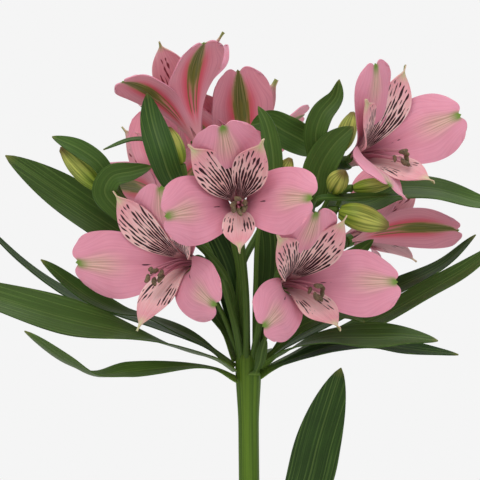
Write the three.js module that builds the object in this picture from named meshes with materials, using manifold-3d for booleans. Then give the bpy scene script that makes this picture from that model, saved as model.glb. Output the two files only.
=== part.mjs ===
// A potted Peruvian lily: one flowering stem with a whorl of leaves under an umbel of pink
// funnel-shaped flowers and green buds, standing in the soil of a plain tapered clay pot.
// Millimetres, +Z up, the viewer's side is -Y. The origin is the centre of the pot's underside.

import * as THREE from "three";
import { mergeVertices } from "three/addons/utils/BufferGeometryUtils.js";
import Module from "manifold-3d";

const wasm = await Module();
wasm.setup();

// Driving dimensions of the pot and its soil
const POT_HEIGHT = 118;
const POT_RIM_RADIUS = 66;
const POT_FOOT_RADIUS = 46;
const POT_WALL = 4;
const POT_FLOOR = 5;
const POT_BAND_HEIGHT = 18;
const POT_BAND_PROUD = 2.6;
const POT_LIP_ROUND = 1.4;
const DRAIN_HOLE_RADIUS = 4.5;
const DRAIN_CIRCLE_RADIUS = 26;
const DRAIN_HOLES = 3;
const SOIL_BELOW_RIM = 14;
const SOIL_MOUND = 3.5;
const SOIL_LUMP = 1.1;
const FIT_GAP = 0.3;
const ROUND_SIDES = 24;

// Driving dimensions of the stem, its rays and the leaves
const WHORL_HEIGHT = 300;
const STEM_RADIUS = 4.1;
const COLLAR_RADIUS = 5.2;
const COLLAR_LENGTH = 26;
const COLLAR_DOME = 6.5;
const STEM_IN_SOIL = 50;
const FRAME_STEPS = 60;
const STEM_STEPS = 9;
const STEM_SIDES = 10;
const RAY_STEPS = 5;
const RAY_SIDES = 5;
const TWIG_STEPS = 6;
const TWIG_SIDES = 4;
const TWIG_NECK = 4;
const RAY_RADIUS = 1.45;
const RAY_RING_RADIUS = 2.8;
const TWIG_RADIUS = 1;
const TWIG_END_RADIUS = 1.7;
const SEAT_GAP = 0.7;
const BLADE_THICKNESS = 0.7;
const LEAF_ROWS = 9;
const BRACT_ROWS = 6;
const LEAF_FOLD = 0.16;
const PETIOLE_HALF_WIDTH = 1.5;
const LEAF_TIP_HALF_WIDTH = 0.4;

// Driving dimensions of a flower
const OVARY_LENGTH = 8;
const OVARY_RADIUS = 2.9;
const BUTTON_RADIUS = 3;
const BUTTON_BELOW = 1.2;
const BUTTON_ABOVE = 1.8;
const TEPAL_ROWS = 5;
const CLAW_HALF_WIDTH = 0.9;
const TIP_REACH = 0.6;
const SHOULDER_BACK = 2.1;
const LIMB_CURL_RADIUS = 30;
const OUTER_TEPAL = {
  root: 2.5, length: 46, width: 27, opens: [12, 72], widest: 0.7, taper: 1.6, end: 0.61, columns: 4,
};
const INNER_TEPAL = {
  root: 1.7, length: 46, width: 14.5, opens: [9, 52], widest: 0.64, taper: 2.3, end: 0.1, columns: 2,
};
const LOWER_TEPAL = {
  root: 1.7, length: 43, width: 14.5, opens: [12, 64], widest: 0.6, taper: 2, end: 0.1, columns: 2,
};
const STAMENS = 6;
const FILAMENT_RADIUS = 0.38;
const FILAMENT_REACH = 28;
const FILAMENT_DROOP = 5;
const FILAMENT_SPREAD = 2.5;
const ANTHER_RADIUS = 1.05;
const ANTHER_STRETCH = 1.9;
const STYLE_REACH = 21;
const STIGMA_RADIUS = 0.7;

// The eye that the tips are seen from, level and in front, measured from the whorl, and the small
// turns in degrees that lay a tepal's end at its tip
const EYE_SIDE = -3.2;
const EYE_HEIGHT = 48.8;
const EYE_DISTANCE = 1400;
const LAY_STEPS = 60;
const LAY_TRIAL = 0.5;
const LAY_STRIDE = 5;
const LAY_DAMPING = 0.01;

// The sides that a blade can face before it is turned about its midrib
const VIEWER = [0, -1, 0];
const SKY = [0, 0, 1];

// The six tepals of a flower, by the angle at which they stand round its axis from its top one
const TEPALS = [
  { name: "top", angle: 0, kind: OUTER_TEPAL },
  { name: "left", angle: 103, kind: OUTER_TEPAL },
  { name: "right", angle: -103, kind: OUTER_TEPAL },
  { name: "innerLeft", angle: 40, kind: INNER_TEPAL },
  { name: "innerRight", angle: -40, kind: INNER_TEPAL },
  { name: "low", angle: 180, kind: LOWER_TEPAL },
];

// Flowers, measured from the whorl: a point on the ray, the foot of the funnel, the bearing that
// the flower faces (0 is the viewer, 90 the right), its lift and its roll in degrees, and how far it
// is open. tips gives where the photograph shows the ends of the tepals, across and up on the plane
// through the stem; a tepal with no tip there keeps its kind's opening. twist turns a tepal about its
// midrib, in degrees, bow bends the midrib sideways, and girth and longer make a tepal wider and longer
// by a share.
const FLOWERS = [
  { name: "bloom_front", mid: [-1, -6, 28], foot: [-4, -27, 62], bearing: 0, lift: 10, roll: 5,
    open: 1,
    tips: { top: [-10, 93.5], left: [-32, 58.5], right: [24.5, 65.5], innerLeft: [-24, 87],
      innerRight: [6, 89], low: [-3.5, 44] },
    twist: { left: -25, right: -10 } },
  { name: "bloom_left", mid: [-6, -4, 18], foot: [-22, -12, 40], bearing: -30, lift: 0, roll: -5,
    open: 1,
    tips: { top: [-34.5, 69], left: [-69, 40], right: [-13.5, 23.5], innerLeft: [-54, 68.5],
      innerRight: [-23, 60.5], low: [-44.5, 12.5] },
    twist: { top: 10, left: -10, right: 15 }, bow: { left: 4, right: -3 },
    girth: { top: 0.1, right: -0.1 }, longer: { top: -0.18 } },
  { name: "bloom_right", mid: [4, -5, 13], foot: [14, -12, 31], bearing: 25, lift: 5, roll: 15,
    open: 1,
    tips: { top: [27, 59], left: [6.5, 15], right: [60.5, 32], innerLeft: [11.5, 51],
      innerRight: [39.5, 58.5], low: [37, 13] },
    twist: { top: -5, left: -15, right: -20, low: -10 }, bow: { left: 3 },
    girth: { top: -0.1, left: -0.1 } },
  { name: "bloom_upper_right", mid: [14, 6, 40], foot: [42, 5, 81], bearing: 35, lift: 15, roll: 25,
    open: 1,
    tips: { top: [51, 118], left: [56.5, 71], right: [84, 98.5], innerLeft: [47, 105],
      innerRight: [63.5, 120], low: [74.5, 72] },
    twist: { right: -5 }, girth: { top: -0.25 } },
  { name: "bloom_top", mid: [-4, 4, 40], foot: [-20, 4, 88], bearing: -110, lift: 65, roll: -30,
    open: 1,
    tips: { top: [-18, 127], left: [-13, 123], right: [-49.5, 112], innerLeft: [-9.5, 133],
      innerRight: [-35.5, 128] },
    twist: { top: -5, left: -10 }, girth: { top: -0.1, right: -0.35 } },
  { name: "bloom_back", mid: [-3, 12, 36], foot: [2, 32, 71], bearing: -155, lift: 55, roll: -15,
    open: 1,
    tips: { top: [-4, 115.5], left: [21.5, 98.5], right: [-30, 101], innerLeft: [11.5, 113] },
    twist: { top: 10 } },
  { name: "bloom_back_left", mid: [-9, 1, 34], foot: [-32, 0, 65], bearing: -175, lift: 25, roll: -15,
    open: 0.68,
    tips: { top: [-39.5, 99], innerRight: [-50.5, 94] },
    girth: { top: -0.25 } },
  { name: "bloom_back_right", mid: [12, 8, 22], foot: [40, 14, 48.5], bearing: 140, lift: 15,
    roll: -10, open: 0.65,
    tips: { left: [83, 52.5] },
    twist: { left: 20 }, bow: { left: -6 }, girth: { left: -0.35 } },
];

// Buds: the ray that each forks from and how far along it, or the whorl, then points on its twig,
// its foot, its tip and its girth
const BUDS = [
  { name: "bud_right", fork: "whorl", twig: [[14, -5, 28], [27, -9, 52]],
    foot: [37, -11, 60], tip: [56, -14, 54], radius: 5.4 },
  { name: "bud_round", fork: "bloom_upper_right", at: 0.5, twig: [[28, 0, 58]],
    foot: [34, -8, 69], tip: [38, -16, 76], radius: 4.3 },
  { name: "bud_side", fork: "bloom_back_right", at: 0.62, twig: [[34, 2, 58]],
    foot: [43, -1, 69.5], tip: [58, -5, 71.5], radius: 3.1 },
  { name: "bud_behind", fork: "bloom_upper_right", at: 0.7, twig: [[30, 13, 75]],
    foot: [38, 19, 86], tip: [43, 21, 101], radius: 4 },
  { name: "bud_left", fork: "whorl", twig: [[-14, 2, 26], [-44, 1, 58]],
    foot: [-59, 0, 70], tip: [-75, -2, 86], radius: 4.6 },
  { name: "bud_upper_left", fork: "bloom_back_left", at: 0.5, twig: [[-23, -4, 62]],
    foot: [-27, -5, 80], tip: [-32, -6, 94], radius: 3.9 },
  { name: "bud_centre", fork: "whorl", twig: [[3, -1, 30], [5, -2, 56]],
    foot: [13, -4, 73], tip: [17, -8, 81.5], radius: 3.4 },
];

// Leaves of the whorl: the level of the foot on the collar, points along the midrib, the blade's
// full width and how it turns about its midrib from foot to tip, in degrees
const WHORL_LEAVES = [
  { name: "leaf_upper_left", level: 0.2, width: 21, turn: [60, 50, 35, 30, 30],
    path: [[-10, 5.5, 13], [-34, 11, 42], [-54, 13, 54], [-74, 14, 67], [-98, 14, 83]] },
  { name: "leaf_twisted_left", level: -2, width: 13, turn: [60, 60, 70, 88, 62, 50, 50],
    path: [[-19, 2, 8], [-39, 3, 17], [-51, 3, 20], [-65, 3, 27], [-83, 2, 41]] },
  { name: "leaf_back_left", level: -4, width: 14, turn: [90, 80, 78, 78, 82],
    path: [[-16, 14, 5], [-52, 30, 18], [-75, 33, 27], [-93, 33, 40], [-110, 32, 57]] },
  { name: "leaf_broad_left", level: -3.7, width: 19, turn: [100, 110, 75, 42, 40, 40, 38],
    path: [[-12, -3, 1], [-27, -7, 5.5], [-48, -13, 12], [-72, -16, 18], [-99, -17, 26], [-122, -16, 33]] },
  { name: "leaf_low_left", level: -6.8, width: 13, turn: [60, 90, 62, 60, 70, 100, 125, 125],
    path: [[-15, -8, -2], [-47, -19, -3], [-60, -22, -4.4], [-71, -23, 1], [-88, -23, 13]] },
  { name: "leaf_upright_left", level: -0.5, width: 15, turn: [0, 20, 20, 10],
    path: [[-3.6, 10.5, 12], [-8, 14, 36], [-14, 15, 50], [-22, 15, 66]] },
  { name: "leaf_upright_right", level: -0.2, width: 15, turn: [-30, -20, -10, 0],
    path: [[6.5, 10, 13], [10.5, 15, 32], [11, 15, 48], [8, 14.5, 66]] },
  { name: "leaf_right_broad", level: -2, width: 16, turn: [-130, -95, -70, -52, -52, -60],
    path: [[12, -8, 3], [29, -14, 9.5], [51, -17, 10.5], [62, -18, 10.5], [75, -18, 9]] },
  { name: "leaf_right_low", level: -5, width: 13, turn: [-60, -60, -60, -65, -65],
    path: [[9, -4, -2.5], [25, -7, 4], [35, -7, 7], [49, -6, 8], [61, -5, 6], [84, -3, 3]] },
  { name: "leaf_right_rising", level: -3.2, width: 15, turn: [-90, -70, -62, -60, -62, -70],
    path: [[21, 3, 4.5], [50, 9, 16], [74, 11, 29], [88, 12, 37], [107, 12, 51]] },
  { name: "leaf_back_right", level: -1.5, width: 14, turn: [-80, -65, -65, -65],
    path: [[14, 10.5, 5], [41, 22, 20], [60, 26, 29], [80, 28, 39], [93, 28, 51]] },
  { name: "leaf_right_inner", level: -0.5, width: 11, turn: [-60, -55, -55, -60],
    path: [[12, -1.5, 6], [19, -2, 13], [29, -2, 18], [39, -2, 19.5], [47, -2, 15.5]] },
  { name: "leaf_rear", level: -3, width: 17, turn: [60, 20, 0, 0], face: SKY,
    path: [[1, 16, 0.5], [2, 34, 2], [2, 56, 2.5], [1, 80, 1]] },
  { name: "leaf_small_front", level: -5, width: 5, turn: [30, 20],
    path: [[4.5, -9, 0], [5.5, -9.5, 5], [7, -9, 10]] },
];

// Leaves of the stem below the whorl, with the height of the foot on the stem
const STEM_LEAVES = [
  { name: "leaf_stem_1", level: -97, width: 20, turn: [70, 50, 20, 5, 0, 0],
    path: [[10, -4, -84], [17, -6, -66], [24, -8, -47], [28, -9, -31], [37, -8, -2]] },
  { name: "leaf_stem_2", level: -126, width: 19, turn: [-170, -90, -30, -25, -20], face: SKY,
    path: [[-12, -4, -114], [-30, -8, -97], [-48, -10, -84], [-66, -11, -79], [-82, -11, -86]] },
  { name: "leaf_stem_3", level: -143, width: 19, turn: [170, 90, 20, 20, 10], face: SKY,
    path: [[8, 9, -132], [20, 24, -116], [34, 38, -104], [48, 50, -100], [60, 60, -109]] },
  { name: "leaf_stem_4", level: -158, width: 18, turn: [-170, -90, -15, -15, -10], face: SKY,
    path: [[-7, 9, -148], [-18, 26, -134], [-30, 44, -124], [-40, 58, -124], [-47, 70, -135]] },
  { name: "leaf_stem_5", level: -168, width: 17, turn: [170, 90, 20, 20, 10], face: SKY,
    path: [[10, -8, -159], [26, -18, -146], [42, -27, -138], [58, -34, -139], [70, -38, -150]] },
  { name: "leaf_stem_6", level: -178, width: 15, turn: [-170, -90, -15, -15, -10], face: SKY,
    path: [[-9, -9, -170], [-22, -22, -160], [-35, -34, -156], [-48, -44, -160], [-57, -51, -169]] },
];

// Bracts, the small leaves of the umbel: the ray or twig that each grows from and how far along it
const BRACTS = [
  { name: "bract_upright_left", on: "bloom_back_left", at: 0.71, width: 12.5, turn: [80, 40, 10, 0, 0],
    path: [[-26, -16, 65], [-31, -19, 74], [-34, -20, 83], [-38, -16, 96], [-40, -14, 107]] },
  { name: "bract_over_bud", on: "bud_left", at: 0.84, width: 9, turn: [80, 45, 30, 30],
    path: [[-55, -4, 73], [-60, -6, 80], [-67, -7, 85], [-78, -7, 90]] },
  { name: "bract_curled", on: "bud_left", at: 0.66, width: 10.5, turn: [30, 60, 20, 0, 0, 0],
    path: [[-42, -6, 52], [-52, -8, 61], [-57, -9, 68], [-54, -10, 74], [-46, -11, 76], [-38, -11, 78]] },
  { name: "bract_thin", on: "bud_upper_left", at: 0.62, width: 7, turn: [60, 80, 70, 75, 75],
    path: [[-27, 3, 69], [-33, 4, 81], [-39, 4, 88], [-46, 4, 89], [-58, 3, 85]] },
  { name: "bract_pale", on: "bud_centre", at: 0.76, width: 8, turn: [0, 0, 0, 0, 0],
    path: [[9, -9, 67], [10, -11, 79], [9, -11, 88], [7, -10.5, 96], [4, -9, 102]] },
  { name: "bract_dark", on: "bud_behind", at: 0.5, width: 14, turn: [40, 10, 0, 0, 10],
    path: [[31, 9, 79.5], [29, 9.5, 84.5], [22.5, 10, 88.5], [15, 9, 92.5], [8.5, 9, 96], [1, 9, 95]] },
  { name: "bract_twisted", on: "bloom_upper_right", at: 0.67, width: 10.5, turn: [0, 0, -30, -10, 20],
    path: [[28, 2, 82], [27, -1, 91], [29.5, -2, 99], [35, -2, 106], [36.5, -2, 113]] },
  { name: "bract_right", on: "bloom_upper_right", at: 0.62, width: 14, turn: [0, 0, -10, -10],
    path: [[27, 0, 68], [28.5, -3, 77], [34, -5, 86.5], [42, -6, 94]] },
  { name: "bract_long_right", on: "bloom_upper_right", at: 0.44, width: 16,
    turn: [-90, -80, -55, -50, -50, -60],
    path: [[26, 8, 55], [33, 11, 62], [42, 12, 63], [50, 11, 64], [60, 11, 69], [75, 11, 69], [93, 11, 64],
      [104, 11, 62]] },
  { name: "bract_small_right", on: "bloom_back_right", at: 0.7, width: 6, turn: [-90, -20, 0],
    path: [[36, 0, 41], [42, -3, 43], [50, -5, 49]] },
  { name: "bract_narrow_right", on: "bud_round", at: 0.5, width: 6, turn: [-60, -60, -60, -60, -65, -70],
    path: [[26, -7, 61.5], [28, -11.5, 65], [34, -12.5, 65.5], [41, -9.5, 65.5], [49, -7.5, 66],
      [63, -8, 66.5]] },
];

const vector = ([x, y, z]) => new THREE.Vector3(x, y, z);
const { degToRad, lerp, smoothstep } = THREE.MathUtils;

// The value at t, from 0 to 1, along a list of evenly spaced values
function along(values, t) {
  const place = t * (values.length - 1);
  const index = Math.min(Math.floor(place), values.length - 2);
  return lerp(values[index], values[index + 1], place - index);
}

// A closed geometry as a solid, its shared vertices merged
function toSolid(geometry) {
  const bare = geometry.clone();
  bare.deleteAttribute("normal");
  bare.deleteAttribute("uv");
  const merged = mergeVertices(bare, 1e-4);
  return new wasm.Manifold(new wasm.Mesh({
    numProp: 3,
    vertProperties: new Float32Array(merged.attributes.position.array),
    triVerts: new Uint32Array(merged.index.array),
  }));
}

// A solid as a geometry
function toGeometry(solid) {
  const { vertProperties, triVerts } = solid.getMesh();
  const geometry = new THREE.BufferGeometry();
  geometry.setAttribute("position", new THREE.BufferAttribute(vertProperties, 3));
  geometry.setIndex(new THREE.BufferAttribute(triVerts, 1));
  geometry.computeVertexNormals();
  return geometry;
}

// Several overlapping closed geometries as one body, any pocket that the joining seals filled
function fuse(geometries) {
  const whole = geometries.map(toSolid).reduce((sum, solid) => sum.add(solid));
  const skins = whole.decompose().sort((a, b) => b.volume() - a.volume());
  return toGeometry(skins[0]);
}

// The places, from 0 to 1, of evenly spaced rings
const even = (steps) => Array.from({ length: steps + 1 }, (_, i) => i / steps);

// A closed round bar along a curve, with a ring of the given radius at each station from 0 to 1
function bar(curve, stations, sides, radiusAt) {
  const steps = stations.length - 1;
  const geometry = new THREE.CylinderGeometry(1, 1, 1, sides, steps);
  const frames = curve.computeFrenetFrames(FRAME_STEPS, false);
  const position = geometry.attributes.position;
  for (let i = 0; i < position.count; i += 1) {
    const t = stations[Math.round((position.getY(i) + 0.5) * steps)];
    const frame = Math.round(t * FRAME_STEPS);
    const radius = radiusAt(t);
    const point = curve.getPointAt(t)
      .addScaledVector(frames.normals[frame], position.getX(i) * radius)
      .addScaledVector(frames.binormals[frame], -position.getZ(i) * radius);
    position.setXYZ(i, point.x, point.y, point.z);
  }
  return geometry;
}

// A thin closed blade: a grid of points placed by t from foot to tip and v from side to side, given
// a thickness. Both faces are cut into triangles alike, so they never cross.
function blade(rows, columns, pointAt) {
  const at = (i, j) => pointAt(i / rows, (2 * j) / columns - 1);
  const upper = [];
  const lower = [];
  for (let i = 0; i <= rows; i += 1) {
    for (let j = 0; j <= columns; j += 1) {
      const lengthways = at(Math.min(i + 0.5, rows), j).sub(at(Math.max(i - 0.5, 0), j));
      const crossways = at(i, Math.min(j + 0.5, columns)).sub(at(i, Math.max(j - 0.5, 0)));
      const offset = lengthways.cross(crossways).normalize().multiplyScalar(BLADE_THICKNESS / 2);
      const point = at(i, j);
      upper.push(point.clone().add(offset));
      lower.push(point.clone().sub(offset));
    }
  }
  const corner = (i, j) => i * (columns + 1) + j;
  const below = upper.length;
  const index = [];
  for (let i = 0; i < rows; i += 1) {
    for (let j = 0; j < columns; j += 1) {
      const [a, b, c, d] = [corner(i, j), corner(i + 1, j), corner(i + 1, j + 1), corner(i, j + 1)];
      index.push(a, b, c, a, c, d);
      index.push(below + a, below + c, below + b, below + a, below + d, below + c);
    }
  }
  const edge = [];
  for (let i = 0; i < rows; i += 1) edge.push(corner(i, 0));
  for (let j = 0; j < columns; j += 1) edge.push(corner(rows, j));
  for (let i = rows; i > 0; i -= 1) edge.push(corner(i, columns));
  for (let j = columns; j > 0; j -= 1) edge.push(corner(0, j));
  edge.forEach((p, k) => {
    const q = edge[(k + 1) % edge.length];
    index.push(q, p, below + p, q, below + p, below + q);
  });
  const geometry = new THREE.BufferGeometry();
  geometry.setFromPoints([...upper, ...lower]);
  geometry.setIndex(index);
  geometry.computeVertexNormals();
  return geometry;
}

// Half the width of a lance-shaped leaf at t, with a narrow foot and an acute tip
function leafHalfWidth(width, t) {
  const s = Math.max((t - 0.06) / 0.94, 0);
  const lance = Math.pow(s, 0.95) * Math.pow(1 - s, 0.75) / 0.327;
  return Math.max(lerp(PETIOLE_HALF_WIDTH, LEAF_TIP_HALF_WIDTH, t), (width / 2) * lance);
}

// A leaf along its midrib, folded a little along it and turned about it
function leafBlade({ path, width, turn, face = VIEWER }, foot, rows) {
  const midrib = new THREE.CatmullRomCurve3([foot, ...path.map(vector)]);
  const facing = vector(face);
  return blade(rows, 2, (t, v) => {
    const tangent = midrib.getTangentAt(t);
    const normal = facing.clone().projectOnPlane(tangent).normalize()
      .applyAxisAngle(tangent, degToRad(along(turn, t)));
    const side = tangent.clone().cross(normal);
    const half = leafHalfWidth(width, t);
    return midrib.getPointAt(t)
      .addScaledVector(side, v * half)
      .addScaledVector(normal, LEAF_FOLD * Math.abs(v) * half);
  });
}

// The foot of a leaf on an upright stem, on the side towards the leaf's first point
function seatOnStem(radius, centre, level, towards) {
  const out = vector([towards[0] - centre.x, towards[1] - centre.y, 0]).normalize();
  return vector([centre.x, centre.y, level]).addScaledVector(out, radius + SEAT_GAP);
}

// The foot of a bract on a ray or twig, on the side towards the bract's first point
function seatOnRay(curve, radius, at, towards) {
  const centre = curve.getPointAt(at);
  const out = vector(towards).sub(centre).projectOnPlane(curve.getTangentAt(at)).normalize();
  return centre.addScaledVector(out, radius + SEAT_GAP);
}

// The way that a flower faces
function facingOf({ bearing, lift }) {
  const [turn, rise] = [degToRad(bearing), degToRad(lift)];
  return vector([Math.sin(turn) * Math.cos(rise), -Math.cos(turn) * Math.cos(rise), Math.sin(rise)]);
}

// The turn that takes a flower's own axis (+Z) and top (+Y) to where it faces
function stanceOf(flower) {
  const axis = facingOf(flower);
  const top = vector(SKY).projectOnPlane(axis).normalize()
    .applyAxisAngle(axis, degToRad(flower.roll));
  const right = top.clone().cross(axis);
  return new THREE.Quaternion().setFromRotationMatrix(new THREE.Matrix4().makeBasis(right, top, axis));
}

// The middle line of the ray that carries a flower, up to the top of its ovary
function rayCurve(flower) {
  const axis = facingOf(flower);
  const top = vector(flower.foot).addScaledVector(axis, -BUTTON_BELOW - FIT_GAP);
  const root = vector([flower.mid[0], flower.mid[1], 0]).normalize().multiplyScalar(RAY_RING_RADIUS);
  return new THREE.CatmullRomCurve3([
    root,
    vector(flower.mid),
    top.clone().addScaledVector(axis, -2 * OVARY_LENGTH),
    top.clone().addScaledVector(axis, -OVARY_LENGTH),
    top,
  ]);
}

// A ray and the ovary that it swells into under its flower
function rayBar(curve) {
  const neck = 1 - OVARY_LENGTH / curve.getLength();
  const swell = [RAY_RADIUS, OVARY_RADIUS * 0.93, OVARY_RADIUS, OVARY_RADIUS * 0.84];
  const rising = even(RAY_STEPS).map((t) => t * neck);
  const stations = [...rising, lerp(neck, 1, 1 / 3), lerp(neck, 1, 2 / 3), 1];
  const radiusAt = (t) => (t <= neck ? RAY_RADIUS : along(swell, (t - neck) / (1 - neck)));
  return bar(curve, stations, RAY_SIDES, radiusAt);
}

// The middle line of the twig that carries a bud
function twigCurve(bud, rays) {
  const root = bud.fork === "whorl"
    ? vector([bud.twig[0][0], bud.twig[0][1], 0]).normalize().multiplyScalar(RAY_RING_RADIUS)
    : rays[bud.fork].getPointAt(bud.at);
  const foot = vector(bud.foot);
  const axis = vector(bud.tip).sub(foot).normalize();
  return new THREE.CatmullRomCurve3([
    root,
    ...bud.twig.map(vector),
    foot.clone().addScaledVector(axis, -TWIG_NECK),
    foot.clone().addScaledVector(axis, -FIT_GAP),
  ]);
}

// The radius of a twig, which swells under its bud
const twigRadius = (t) => lerp(TWIG_RADIUS, TWIG_END_RADIUS, smoothstep(t, 0.8, 1));

// The middle line of the main stem, upright in the soil and a little bowed above it
function stemCurve() {
  const foot = POT_HEIGHT - SOIL_BELOW_RIM - STEM_IN_SOIL - WHORL_HEIGHT;
  return new THREE.CatmullRomCurve3([
    [0, 0, foot], [0, 0, foot + 28], [0, 0, foot + 56], [1.2, 0.8, -150], [1.4, 0, -100], [0.4, 0, -48],
    [0, 0, -8],
  ].map(vector));
}

// The collar at the top of the stem, where it flares and domes over and the rays start
function collar() {
  const profile = [
    [0, -COLLAR_LENGTH],
    [STEM_RADIUS * 0.9, -COLLAR_LENGTH],
    [STEM_RADIUS + 0.2, -COLLAR_LENGTH * 0.6],
    [COLLAR_RADIUS * 0.96, -6],
    [COLLAR_RADIUS, 0],
    [COLLAR_RADIUS * 0.72, COLLAR_DOME * 0.8],
    [0, COLLAR_DOME],
  ].map(([x, y]) => new THREE.Vector2(x, y));
  return new THREE.LatheGeometry(profile, 12).rotateX(Math.PI / 2);
}

// The whole green frame of the plant, grown as one piece: the stem, its collar, the rays and twigs
function stemFrame(rays, twigs) {
  return fuse([
    bar(stemCurve(), even(STEM_STEPS), STEM_SIDES, () => STEM_RADIUS),
    collar(),
    ...FLOWERS.map(({ name }) => rayBar(rays[name])),
    ...BUDS.map(({ name }) => bar(twigs[name], even(TWIG_STEPS), TWIG_SIDES, twigRadius)),
  ]);
}

// Half the width of a tepal at t: a narrow claw, a wide limb and a rounded or pointed end
function tepalHalfWidth({ width, widest, taper, end }, t) {
  const limb = width / 2 - CLAW_HALF_WIDTH;
  if (t < widest) return CLAW_HALF_WIDTH + limb * Math.pow(Math.sin((Math.PI / 2) * (t / widest)), taper);
  const fall = (t - widest) / (1 - widest);
  return (width / 2) * lerp(end, 1, Math.sqrt(1 - fall * fall));
}

// A spot on a tepal's midrib in the flower's own frame. The tepal leaves the axis at a slight lean
// and opens outwards evenly; extra opens it further and shift moves it round the axis, in degrees.
function midribAt({ name, kind, angle }, { open, bow = {}, longer = {} }, { extra, shift }, t) {
  const length = kind.length * (1 + (longer[name] ?? 0));
  const from = degToRad(kind.opens[0] * open);
  const swing = degToRad(kind.opens[1] * open + extra) - from;
  const round = degToRad(angle + shift);
  const lean = from + swing * t;
  const outwards = vector([-Math.sin(round), Math.cos(round), 0]);
  const sideways = vector([Math.cos(round), Math.sin(round), 0]);
  const radius = kind.root + (length / swing) * (Math.cos(from) - Math.cos(lean));
  const height = (length / swing) * (Math.sin(lean) - Math.sin(from));
  const spot = outwards.clone().multiplyScalar(radius).setZ(height)
    .addScaledVector(sideways, (bow[name] ?? 0) * t ** 3);
  return { lean, outwards, sideways, radius, spot };
}

// Where the eye sees the end of a tepal, on the upright plane through the stem
function seenTip(tepal, flower, lay) {
  const end = midribAt(tepal, flower, lay, 1).spot.applyQuaternion(stanceOf(flower))
    .add(vector(flower.foot));
  const nearness = EYE_DISTANCE / (EYE_DISTANCE + end.y);
  return [EYE_SIDE + (end.x - EYE_SIDE) * nearness, EYE_HEIGHT + (end.z - EYE_HEIGHT) * nearness];
}

// How far a tepal opens and where it stands round the axis, so that the eye sees its end at its
// place in tips: both are turned in small damped steps from the kind's own until it lies there
function layOf(tepal, flower) {
  const lay = { extra: 0, shift: 0 };
  const goal = flower.tips[tepal.name];
  if (!goal) return lay;
  for (let step = 0; step < LAY_STEPS; step += 1) {
    const now = seenTip(tepal, flower, lay);
    const opened = seenTip(tepal, flower, { ...lay, extra: lay.extra + LAY_TRIAL });
    const moved = seenTip(tepal, flower, { ...lay, shift: lay.shift + LAY_TRIAL });
    const [a, b] = [0, 1].map((k) => (opened[k] - now[k]) / LAY_TRIAL);
    const [c, d] = [0, 1].map((k) => (moved[k] - now[k]) / LAY_TRIAL);
    const [x, z] = [goal[0] - now[0], goal[1] - now[1]];
    const [aa, cc, ac] = [a * a + b * b + LAY_DAMPING, c * c + d * d + LAY_DAMPING, a * c + b * d];
    const spread = aa * cc - ac * ac;
    const turn = (cc * (a * x + b * z) - ac * (c * x + d * z)) / spread;
    const slide = (aa * (c * x + d * z) - ac * (a * x + b * z)) / spread;
    const share = Math.min(1, LAY_STRIDE / Math.max(Math.abs(turn), Math.abs(slide), LAY_STRIDE / 2));
    lay.extra += turn * share;
    lay.shift += slide * share;
  }
  return lay;
}

// One tepal in the flower's own frame. Its claw wraps round the axis, and its limb curls back a
// little at the sides.
function tepalBlade(tepal, flower) {
  const { name, kind } = tepal;
  const { twist = {}, girth = {} } = flower;
  const lay = layOf(tepal, flower);
  return blade(TEPAL_ROWS, kind.columns, (t, v) => {
    const { lean, outwards, sideways, radius, spot } = midribAt(tepal, flower, lay, t);
    const forwards = outwards.clone().multiplyScalar(Math.sin(lean)).setZ(Math.cos(lean));
    const inwards = outwards.clone().multiplyScalar(-Math.cos(lean)).setZ(Math.sin(lean));
    const turn = degToRad(twist[name] ?? 0) * t * t;
    const across = v * tepalHalfWidth(kind, t) * (1 + (girth[name] ?? 0));
    const bend = lerp(1 / Math.max(radius, 2), -1 / LIMB_CURL_RADIUS, smoothstep(t, 0.15, 0.8));
    const shoulder = kind === OUTER_TEPAL ? TIP_REACH - SHOULDER_BACK * v ** 4 : 0;
    return spot
      .addScaledVector(forwards, shoulder * smoothstep(t, 0.75, 1))
      .addScaledVector(sideways.clone().applyAxisAngle(forwards, turn), across)
      .addScaledVector(inwards.applyAxisAngle(forwards, turn), (bend * across * across) / 2);
  });
}

// A stamen: a filament that leans out and droops to the flower's low side, and its anther
function stamen(index, open) {
  const turn = (2 * Math.PI * (index + 0.5)) / STAMENS;
  const reach = FILAMENT_REACH + 3 * Math.sin(index * 2.4);
  const [x, y] = [Math.cos(turn), Math.sin(turn)];
  const [spread, droop] = [FILAMENT_SPREAD * open, FILAMENT_DROOP * open * open];
  const tip = vector([x * spread, y * spread - droop, reach]);
  const filament = new THREE.CatmullRomCurve3([
    vector([x * 0.85, y * 0.85, 0]),
    vector([x * 1.3, y * 1.3 - droop * 0.1, reach * 0.4]),
    vector([x * spread * 0.75, y * spread * 0.75 - droop * 0.6, reach * 0.8]),
    tip,
  ]);
  const anther = new THREE.SphereGeometry(ANTHER_RADIUS, 4, 3)
    .scale(1, ANTHER_STRETCH, 1)
    .rotateX(0.9)
    .translate(tip.x, tip.y, tip.z);
  return [bar(filament, even(2), 3, () => FILAMENT_RADIUS), anther];
}

// A flower in its own frame: the button that its six tepals, six stamens and style stand in
function bloomGeometry(flower) {
  const buttonHeight = BUTTON_BELOW + BUTTON_ABOVE;
  const button = new THREE.CylinderGeometry(BUTTON_RADIUS, BUTTON_RADIUS * 0.85, buttonHeight, 8)
    .rotateX(Math.PI / 2)
    .translate(0, 0, buttonHeight / 2 - BUTTON_BELOW);
  const style = new THREE.CatmullRomCurve3([
    vector([0, 0, 0]),
    vector([0, -1, STYLE_REACH * 0.6]),
    vector([0, -2.4, STYLE_REACH]),
  ]);
  return fuse([
    button,
    bar(style, even(2), 3, (t) => lerp(FILAMENT_RADIUS, STIGMA_RADIUS, t)),
    ...TEPALS.map((tepal) => tepalBlade(tepal, flower)),
    ...Array.from({ length: STAMENS }, (_, index) => stamen(index, flower.open)).flat(),
  ]);
}

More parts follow.
